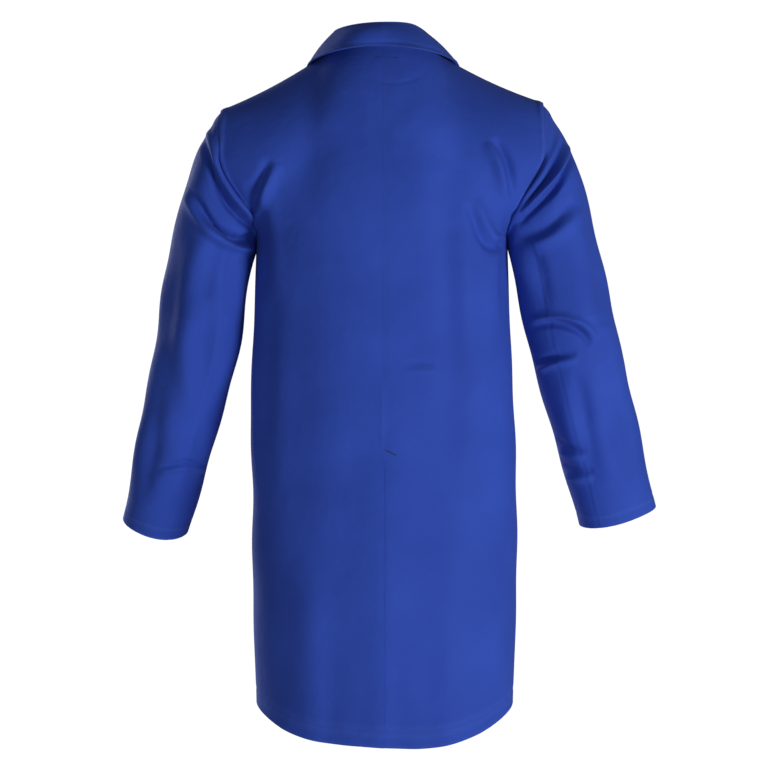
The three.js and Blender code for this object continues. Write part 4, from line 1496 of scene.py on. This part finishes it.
@dataclass
class Collar:
    """The collar and what lies inside the back neck.

    Attributes:
        tailor: who cuts and sews.
        roll: the top fold from the nape to the left front, in the form, and roll_right to the right front.
        edge: the fall's outer edge, likewise, and edge_right.
        swell: how far the fall bows outwards, and ripple how far it waves in and out.
        chest_gap: how far in front of the chest the fall's ends lie.
        roll_radius: radius of the rounded top fold.
        stitch_inset: distance of the topstitching from the edge.
        under_drop: how far inside the top collar the under collar lies.
        facing_drop: how far inside the back the half-moon facing lies, and label_drop the label.
        loop_half: half the length of the hang loop.
    """

    tailor: Tailor
    roll: Path3 = (
        (0, 0.062, 0.0505), (0.042, 0.054, 0.048), (0.070, 0.016, 0.0455), (0.071, -0.008, 0.038),
        (0.064, -0.016, 0.030),
    )
    roll_right: Path3 = (
        (0, 0.062, 0.0505), (0.044, 0.054, 0.0490), (0.071, 0.014, 0.0390), (0.072, -0.008, 0.034),
        (0.064, -0.016, 0.028),
    )
    edge: Path3 = (
        (0, 0.089, 0.013), (0.060, 0.083, 0.009), (0.105, 0.018, 0.001), (0.119, -0.040, -0.022),
        (0.116, -0.084, -0.058),
    )
    edge_right: Path3 = (
        (0, 0.089, 0.013), (0.060, 0.083, 0.009), (0.109, 0.018, 0.001), (0.119, -0.040, -0.022),
        (0.116, -0.084, -0.058),
    )
    swell: float = 0.005
    ripple: float = 0.0022
    chest_gap: float = 0.017
    roll_radius: float = 0.0022
    stitch_inset: float = 0.0095
    under_drop: float = 0.0021
    facing_drop: float = 0.0062
    label_drop: float = 0.0082
    loop_half: float = 0.030

    def line(self, left: Path3, right: Path3, u: Array) -> Array:
        """Points of one of the collar's lines, from the right front (0) to the left front (1)."""
        mirrored = [(-x, y, z) for x, y, z in right[:0:-1]]
        return spline(np.array([*mirrored, *left], float), u)

    def roll_at(self, u: Array) -> Array:
        """Points of the top fold."""
        return self.line(self.roll, self.roll_right, u)

    def fall(self, fronts: Fronts, u: Array, v: Array) -> Array:
        """The part that turns down over the shoulders, from its edge (v = 0) to the roll (1)."""
        across = u[:, 0]
        edge, roll = self.line(self.edge, self.edge_right, across)[:, None], self.roll_at(across)[:, None]
        bow = self.swell * np.sin(math.pi * v)[..., None]
        outward = unit(edge * (1, 1, 0))
        wave = np.sin(math.pi * v * 0.9)[..., None] * np.sin(across * 25.0 + 0.7)[:, None, None]
        sideways = 1 - 0.85 * np.abs(outward[..., :1])
        p = lerp(edge, roll, v[..., None]) + outward * (bow * sideways + self.ripple * wave)
        p[..., 2] += (bow * sideways)[..., 0]
        lying = smooth((0.012 - p[..., 1]) / 0.030) * np.sqrt(np.maximum(0, 1 - v))
        chest = fronts.chest_y(1, np.abs(p[..., 0]), p[..., 2])
        p[..., 1] = np.minimum(p[..., 1], lerp(p[..., 1], chest - self.chest_gap, lying))
        return p

    def stand(self, u: Array, v: Array) -> Array:
        """The part inside that rises from the neck seam (v = 0) to the roll (1)."""
        angle = lerp(-0.5, 0.5, u[:, 0]) * math.pi
        neckline = self.tailor.form.neckline
        base = np.stack([neckline(1 if a >= 0 else -1, np.abs(a)) for a in angle])[:, None]
        x, y, z = self.roll_at(lerp(0.24, 0.76, u[:, 0])).T
        inner = np.stack([x * 0.93, y - 0.004 * np.cos(angle), z - 0.005], -1)[:, None]
        return lerp(base * (0.975, 0.975, 1) - np.array([0, 0, 0.004]), inner, v[..., None])

    def build(self, fronts: Fronts) -> None:
        """Sews the collar, the half-moon facing, the label and the hang loop."""
        t = self.tailor
        across = np.linspace(0.003, 0.997, 170)
        fall = t.cut(lambda u, v: self.fall(fronts, u, v), across, 22, turned=True)
        roll = t.cut(self.turn_over, across, 9, turned=True)
        cloth = Cloth(np.concatenate([fall.points[:, :-1], roll.points], axis=1), turned=True)
        up = cloth.steps(1)[None]
        line = up - self.stitch_inset
        cloth.raised(-0.0019 * bell(line, 0.0019) + 0.0008 * bell(line + 0.005, 0.003))
        cloth.rubbed(np.maximum(bell(up, 0.003), 0.5 * bell(line - 0.003, 0.002)))
        inset = cloth.across_at(self.stitch_inset)
        ends = cloth.up_at(self.stitch_inset), cloth.up_at(self.stitch_inset, from_end=True)
        lines = [row(inset, *ends, 500), *(column(end, inset, 0.9, 60) for end in ends)]
        rows = t.stitches("collar_stitches", cloth, lines, COAT)
        t.sew("collar_fall", cloth, COAT, ["top_collar"], thick=0.0012, with_pieces=[rows])
        under = cloth.layer((0.004, 0.996, 120), (0.01, 0.66, 12), self.under_drop)
        t.sew("collar_under", under, COAT, ["under_collar"])
        t.sew("collar_stand_cloth", t.cut(self.stand, 110, 12, turned=True), COAT, ["collar_stand"])
        self.neck_facing()
        self.loop()

    def turn_over(self, u: Array, v: Array) -> Array:
        """The rounded fold between the fall and the stand."""
        roll = self.roll_at(u[:, 0])
        out = unit(roll * (1, 1, 0))
        angle = lerp(0.05, 0.95, v) * math.pi
        lean = np.cos(angle)[..., None] * out[:, None] * self.roll_radius
        top = np.sin(angle)[..., None] * np.array([0, 0, 0.0020])
        return roll[:, None] - out[:, None] * self.roll_radius + lean + top

    def inside(self, across: Array, v: Array, depth: float) -> Array:
        """Points a depth inside the back at signed shares across it."""
        p = self.tailor.form.back(1, np.abs(across), v)
        p[..., 0] *= np.sign(across)
        p[..., 1] -= depth
        return p

    def neck_facing(self) -> None:
        """The half-moon facing inside the back neck, and the blank label on it."""
        t = self.tailor
        share = t.form.neck_share * 0.5

        def moon(u: Array, v: Array) -> Array:
            """The half-moon, rounded at its bottom."""
            w = lerp(-1.0, 1.0, u)
            return self.inside(w * share, lerp(0.975 - 0.11 * (1 - w * w), 0.99, v), self.facing_drop)

        def label(u: Array, v: Array) -> Array:
            """The label's strip."""
            across = lerp(-1.0, 1.0, u) * share * 0.33
            return self.inside(across, lerp(0.945, 0.968, v), self.label_drop)

        facing = t.cut(moon, np.linspace(0.01, 0.99, 60), 24, turned=True)
        line = row(facing.across_at(0.004), 0.1, 0.9)
        rows = t.stitches("neck_facing_stitches", facing, [line], COAT, lift=-0.0012)
        t.sew("neck_facing_cloth", facing, COAT, ["back_neck_facing"], with_pieces=[rows])
        tape = t.cut(label, 24, 12, turned=True)
        t.sew("label_tape_piece", tape, COAT, ["size_label"], thick=0.0005, finish=t.tape, slot="label_tape")

    def loop(self) -> None:
        """The sewn tape loop that hangs the coat on a hook."""
        t = self.tailor
        half = self.loop_half
        right = [(-half, 0.057, 0.004), (-half * 2 / 3, 0.047, 0.011)]
        left = [(-x, y, z) for x, y, z in right[::-1]]
        line = spline(np.array([*right, (0, 0.043, 0.014), *left]), np.linspace(0, 1, 48)) + t.shift
        along = unit(np.gradient(line, axis=0))
        lean = np.array([0.0, 0.58, 0.81])
        wide = unit(lean - (along @ lean)[:, None] * along)
        thick = np.cross(along, wide)
        under = [(-3.5, -0.55), (0, -0.65), (3.5, -0.55), (3.7, 0)]
        section = under + [(-a, -b) for a, b in under]
        corners = np.stack([line + wide * a / 1000 + thick * b / 1000 for a, b in section], 1)
        n = len(section)
        i, k = np.meshgrid(np.arange(len(line) - 1), np.arange(n), indexing="ij")
        a, b = (i * n + k).ravel(), (i * n + (k + 1) % n).ravel()
        piece = t.mesh("hang_loop_tape", corners, np.stack([a, b, b + n, a + n], -1), t.twill)
        grain = piece.data.uv_layers.new(name="grain")
        corner = np.array([c.vertex_index for c in piece.data.loops])
        grain.data.foreach_set("uv", corners.reshape(-1, 3)[corner][:, [0, 2]].ravel().astype(np.float32))
        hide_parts("hang_loop")
        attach(piece, "coat")


@dataclass
class Sleeve:
    """A set-in two-piece sleeve.

    Attributes:
        tailor: who cuts and sews.
        name: side of the coat, and side its sign of X.
        crown: middle and half sizes (x, y, z, across, deep) of the ring under the shoulder. So are elbow
            and cuff.
        folds: the worn sleeve's creases.
        cap_bulge: how far the sleeve's head stands out below the shoulder.
        tuck: how far the sleeve's top edge lies inside the armhole.
        hem_depth: depth of the turned-up cuff.
        seam_turn: where the two lengthwise seams lie round the sleeve.
        half_girth: half the way round it, and slack how far its cloth waves in and out.
        around: grid points round the sleeve.
        upper_rows: grid rows of the upper sleeve, and fore_rows of the rest.
        upper_share: share of the sleeve that the upper rows take.
    """

    tailor: Tailor
    name: str
    side: int
    crown: tuple[float, ...]
    elbow: tuple[float, ...]
    cuff: tuple[float, ...]
    folds: tuple[Crease, ...]
    cap_bulge: float = 0.016
    tuck: float = 0.0022
    hem_depth: float = 0.020
    seam_turn: float = 0.32
    half_girth: float = 0.20
    slack: float = 0.0020
    around: int = 176
    upper_rows: int = 109
    fore_rows: int = 120
    upper_share: float = 0.53

    def lean(self) -> tuple[Array, Array]:
        """Directions of the upper arm and the forearm."""
        rings = self.crown, self.elbow, self.cuff
        crown, elbow, cuff = (np.array(ring[:3]) * (self.side, 1, 1) for ring in rings)
        return unit(elbow - crown), unit(cuff - elbow)

    def ring(self, size: Sequence[float], direction: Array, turn: Array) -> Array:
        """Points round a ring, from the underarm (0) over the back (0.5) to the top (1).

        Args:
            size: its middle and half sizes.
            direction: where it faces.
            turn: places round it.

        Returns:
            The points.
        """
        angle = turn * math.pi
        flat = np.stack([-self.side * size[3] * np.cos(angle), size[4] * np.sin(angle), 0 * angle], -1)
        turn_to = Vector((0, 0, -1)).rotation_difference(Vector(direction))
        return flat @ np.array(turn_to.to_matrix()).T + np.array([self.side * size[0], size[1], size[2]])

    def hole(self, turn: Array) -> Array:
        """The armhole from the armpit over the back and down the front."""
        back = turn <= 1
        p = self.tailor.form.armhole(self.side, ~back, np.where(back, turn, 2 - turn))
        return p - np.array([self.side * self.tuck, 0, 0])

    def grid(self, along: Array) -> Array:
        """Points of the sleeve at these places from the armhole (0) to the cuff (1), around first."""
        turn = np.linspace(0, 2, self.around, endpoint=False)
        upper, fore = self.lean()
        half = [(a + b) / 2 for a, b in zip(self.elbow, self.cuff)]
        hole = self.hole(turn)
        crown = self.ring(self.crown, upper, turn)
        bulge = (self.cap_bulge * np.sin(turn * math.pi / 2) ** 2)[:, None]
        rings = [
            hole,
            lerp(hole, crown, 0.36) + bulge * unit(np.array([self.side, 0, 0.25])),
            crown,
            self.ring(self.elbow, unit(upper + fore), turn),
            self.ring(half, fore, turn),
            self.ring(self.cuff, fore, turn),
        ]
        return spline(np.stack(rings), along).swapaxes(0, 1)

    def cloth(self) -> Cloth:
        """The whole sleeve's cloth, with its creases, seams and cuff line."""
        t = self.tailor
        share = self.upper_share
        upper = np.linspace(0.0, share, self.upper_rows + 1)[:-1]
        along = np.concatenate([upper, np.linspace(share, 1, self.fore_rows)])
        top = self.grid(along[:2])[:, 0] + t.shift
        cloth = Cloth(self.grid(along) + t.shift, closed=True, turned=self.side < 0)
        cloth.creased(self.folds, Facing.BACK, t.shift)
        turn = np.linspace(0, 2, self.around, endpoint=False)[:, None]
        z = cloth.points[..., 2]
        waves = np.sin(turn * 3 * math.pi + z * 21) * np.sin(z * 33 + self.side)
        cloth.raised(self.slack * waves * smooth(along * 4)[None])
        for seam in (self.seam_turn, 2 - self.seam_turn):
            away = (turn - seam) * self.half_girth
            cloth.raised(-0.0005 * bell(away, 0.0026))
            cloth.rubbed(bell(away - 0.004, 0.003) * 0.2)
        cloth.eased(top - cloth.points[:, 0], 1, False, ARMHOLE_EASE)
        down = cloth.steps(1)[None]
        cloth.raised(-0.0023 * bell(down, 0.0028) + 0.0022 * bell(down - 0.011, 0.007))
        cloth.rubbed(bell(down - 0.004, 0.003) * 0.9)
        hem = cloth.steps(1)[-1] - cloth.steps(1)[None]
        cloth.raised(-0.0007 * bell(hem - self.hem_depth, PRESS_WIDTH))
        return cloth.rubbed(np.maximum(bell(hem - self.hem_depth + 0.003, 0.003) * 0.7, bell(hem, 0.003)))

    def part(self, whole: Cloth, rows: slice) -> Cloth:
        """Some rows of the whole sleeve as a piece of their own."""
        return Cloth(whole.points[:, rows], closed=True, turned=whole.turned, worn=whole.worn[:, rows])

    def build(self) -> None:
        """Sews the sleeve."""
        t, n = self.tailor, self.name
        reach = np.array([self.side * 0.75, 0.0, -0.66])
        top = Hold("coat", f"{n}_sleeve", tuple(0.3162 * reach), tuple(0.4092 * reach))
        elbow = np.array([self.side * self.elbow[0], self.elbow[1], -0.385]) + t.shift
        end = elbow + unit(sum(self.lean())) * 0.060
        bend = Hold(f"{n}_sleeve", f"{n}_forearm", tuple(elbow), tuple(end))
        whole = self.cloth()
        cut = self.upper_rows
        first, second = self.part(whole, slice(cut + 1)), self.part(whole, slice(cut, None))
        rows = t.stitches(f"{n}_armhole_stitches", first, [self.round_row(first.across_at(0.006))], top)
        nodes = [f"{n}_sleeve_head", f"{n}_upper_sleeve_top", f"{n}_upper_sleeve_under"]
        t.sew(f"{n}_upper_sleeve", first, top, nodes, with_pieces=[rows])
        line = self.round_row(second.across_at(self.hem_depth - 0.002, from_top=True))
        rows = t.stitches(f"{n}_cuff_stitches", second, [line], bend)
        nodes = [f"{n}_sleeve_bend", f"{n}_fore_sleeve_top", f"{n}_fore_sleeve_under"]
        t.sew(f"{n}_lower_sleeve", second, bend, nodes, with_pieces=[rows])
        share = second.across_at(self.hem_depth, from_top=True)
        inner = second.layer((0, 1, self.around), (share, 1, 7))
        t.sew(f"{n}_cuff_turn_up", inner, Hold(f"{n}_forearm"), [f"{n}_cuff_hem"])

    def round_row(self, v: float) -> Line:
        """A line all round the sleeve."""
        return row(v, 0.0, 0.995, 320)


def sleeves(tailor: Tailor) -> list[Sleeve]:
    """The two sleeves, as this coat is worn."""
    left = (
        Crease(((0.270, -0.090), (0.234, -0.190), (0.208, -0.227), (0.184, -0.246)), 0.0060, 0.0145, 0.9, -1),
        Crease(((0.280, -0.190), (0.2435, -0.242), (0.206, -0.264), (0.184, -0.252)), 0.0060, 0.0150, 0.9, 1),
        Crease(((0.190, -0.256), (0.214, -0.290), (0.226, -0.372)), 0.0120, 0.0060, 0.6, -1),
        Crease(((0.214, -0.250), (0.244, -0.290), (0.258, -0.380)), 0.0120, 0.0040, 0.7, 1),
        Crease(((0.258, -0.595), (0.292, -0.590), (0.330, -0.596)), 0.0036, 0.0056, 0.9, -1),
        Crease(((0.240, -0.350), (0.258, -0.420), (0.262, -0.520)), 0.0140, 0.0065, 0.7, 1),
        Crease(((0.296, -0.260), (0.312, -0.360), (0.318, -0.480)), 0.0160, 0.0060, 0.7, -1),
        Crease(((0.326, -0.470), (0.338, -0.560), (0.356, -0.650)), 0.0140, 0.0060, 0.7, 1),
        Crease(((0.262, -0.520), (0.280, -0.560), (0.286, -0.640)), 0.0110, 0.0045, 0.7, -1),
    )
    right = (
        Crease(
            ((-0.2850, -0.120), (-0.262, -0.171), (-0.2356, -0.204), (-0.1960, -0.240)),
            0.0050, 0.0150, 0.9, 1,
        ),
        Crease(
            ((-0.266, -0.112), (-0.243, -0.165), (-0.221, -0.196), (-0.198, -0.224)),
            0.0042, 0.0090, 0.9, 1,
        ),
        Crease(((-0.280, -0.205), (-0.240, -0.244), (-0.194, -0.262)), 0.0095, 0.0085, 0.8, -1),
        Crease(((-0.196, -0.262), (-0.224, -0.300), (-0.238, -0.366)), 0.0120, 0.0060, 0.6, 1),
        Crease(
            ((-0.218, -0.388), (-0.252, -0.384), (-0.284, -0.394), (-0.304, -0.414)),
            0.0052, 0.0105, 0.9, -1,
        ),
        Crease(((-0.218, -0.448), (-0.246, -0.434), (-0.282, -0.428)), 0.0052, 0.0090, 0.9, 1),
        Crease(((-0.250, -0.550), (-0.276, -0.566), (-0.300, -0.572)), 0.0055, 0.0060, 0.9, 1),
        Crease(((-0.256, -0.588), (-0.284, -0.600), (-0.312, -0.602)), 0.0055, 0.0060, 0.9, 1),
        Crease(((-0.300, -0.220), (-0.318, -0.320), (-0.318, -0.390)), 0.0160, 0.0065, 0.7, 1),
        Crease(((-0.326, -0.440), (-0.346, -0.540), (-0.368, -0.630)), 0.0150, 0.0070, 0.7, -1),
        Crease(((-0.284, -0.450), (-0.296, -0.520), (-0.318, -0.620)), 0.0130, 0.0055, 0.7, 1),
    )
    left_rings = (
        (0.257, -0.002, -0.310, 0.062, 0.070),
        (0.271, -0.006, -0.410, 0.062, 0.068),
        (0.344, -0.100, -0.684, 0.051, 0.056),
    )
    right_rings = (
        (0.261, -0.002, -0.310, 0.066, 0.070),
        (0.284, -0.006, -0.410, 0.066, 0.066),
        (0.352, -0.060, -0.669, 0.059, 0.050),
    )
    return [Sleeve(tailor, "left", 1, *left_rings, left), Sleeve(tailor, "right", -1, *right_rings, right)]


# ---------------------------------------------------------------- setting
@dataclass
class Studio:
    """A pale floor, an even surround, soft lamps and the camera.

    Attributes:
        camera_at: place of the camera, which faces along -Y.
        lens: its focal length in mm, on a sensor 36 mm wide.
        floor_z: height of the floor, and floor_half half its width.
        surround: colour of the surround.
        surround_light: strength of the surround as a lamp, and surround_seen as the camera sees it.
        lamps: name, place, size and power of each soft lamp.
    """

    camera_at: tuple[float, float, float] = (-0.0044, 3.157, -0.488)
    lens: float = 101.43
    floor_z: float = -1.55
    surround: tuple[float, float, float, float] = (0.95, 0.96, 0.97, 1)
    surround_light: float = 0.17
    surround_seen: float = 1.08
    lamps: tuple[tuple, ...] = (
        ("key", (-2.4, 2.4, -1.35), 1.1, 99.0),
        ("fill", (1.2, 3.4, -1.1), 2.0, 20.0),
        ("front", (2.0, -2.8, 0.3), 1.6, 68.0),
    )

    def build(self) -> None:
        """Sets up the studio."""
        self.world()
        self.floor()
        for lamp in self.lamps:
            self.lamp(*lamp)
        lens = bpy.data.cameras.new("camera")
        lens.lens, lens.sensor_width = self.lens, 36
        camera = bpy.data.objects.new("camera", lens)
        camera.location = self.camera_at
        camera.rotation_euler = (math.pi / 2, 0, math.pi)
        bpy.context.scene.collection.objects.link(camera)
        bpy.context.scene.camera = camera
        bpy.context.scene.view_settings.view_transform = "Standard"

    def world(self) -> None:
        """An even pale surround."""
        world = bpy.data.worlds.new("surround")
        world.use_nodes = True
        tree = world.node_tree
        back = tree.nodes["Background"]
        back.inputs["Color"].default_value = self.surround
        seen = tree.nodes.new("ShaderNodeLightPath").outputs["Is Camera Ray"]
        strength = tree.nodes.new("ShaderNodeMapRange")
        strength.inputs["To Min"].default_value = self.surround_light
        strength.inputs["To Max"].default_value = self.surround_seen
        tree.links.new(seen, strength.inputs["Value"])
        tree.links.new(strength.outputs["Result"], back.inputs["Strength"])
        bpy.context.scene.world = world

    def floor(self) -> None:
        """The floor, well below the hanging coat."""
        s = Shader("studio_floor")
        speckle = s.noise(None, 60.0, 4.0)
        colour = s.mix(speckle, (0.80, 0.80, 0.81, 1), (0.86, 0.86, 0.87, 1))
        data = bpy.data.meshes.new("studio_floor")
        outline = [(-2.5, -2.2), (2.5, -2.2), (2.5, 2.0), (-2.5, 2.0)]
        data.from_pydata([(x, y, self.floor_z) for x, y in outline], [], [(0, 1, 2, 3)])
        data.materials.append(s.finish({"Base Color": colour, "Roughness": 0.8 + speckle * 0.1}))
        piece = bpy.data.objects.new("studio_floor", data)
        bpy.context.scene.collection.objects.link(piece)

    def lamp(self, name: str, place: tuple[float, float, float], size: float, power: float) -> None:
        """A soft lamp that faces the middle of the coat."""
        data = bpy.data.lights.new(name, "AREA")
        data.size, data.energy = size, power
        lamp = bpy.data.objects.new(name, data)
        lamp.location = place
        lamp.rotation_euler = (Vector((0, 0, -0.5)) - Vector(place)).to_track_quat("-Z", "Y").to_euler()
        bpy.context.scene.collection.objects.link(lamp)


def main() -> None:
    """Builds the coat and its setting."""
    logging.basicConfig(level=logging.INFO, format="%(name)s: %(message)s")
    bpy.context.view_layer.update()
    tailor = Tailor()
    back = BackPanels(tailor)
    back.build()
    fronts = Fronts(tailor, back)
    fronts.build()
    hip = ((0.07, 0.90), (0.17, 0.316), 0.014, 0.026)
    pockets = [
        Pocket("chest_pocket", 1, (0.06, 0.62), (0.515, 0.69), 0.009, 0.022),
        Pocket("left_hip_pocket", 1, *hip),
        Pocket("right_hip_pocket", -1, *hip),
    ]
    for pocket in pockets:
        pocket.build(tailor, fronts.side_front(pocket.side))
    Collar(tailor).build(fronts)
    for sleeve in sleeves(tailor):
        sleeve.build()
    Studio().build()


if __name__ == "__main__":
    main()
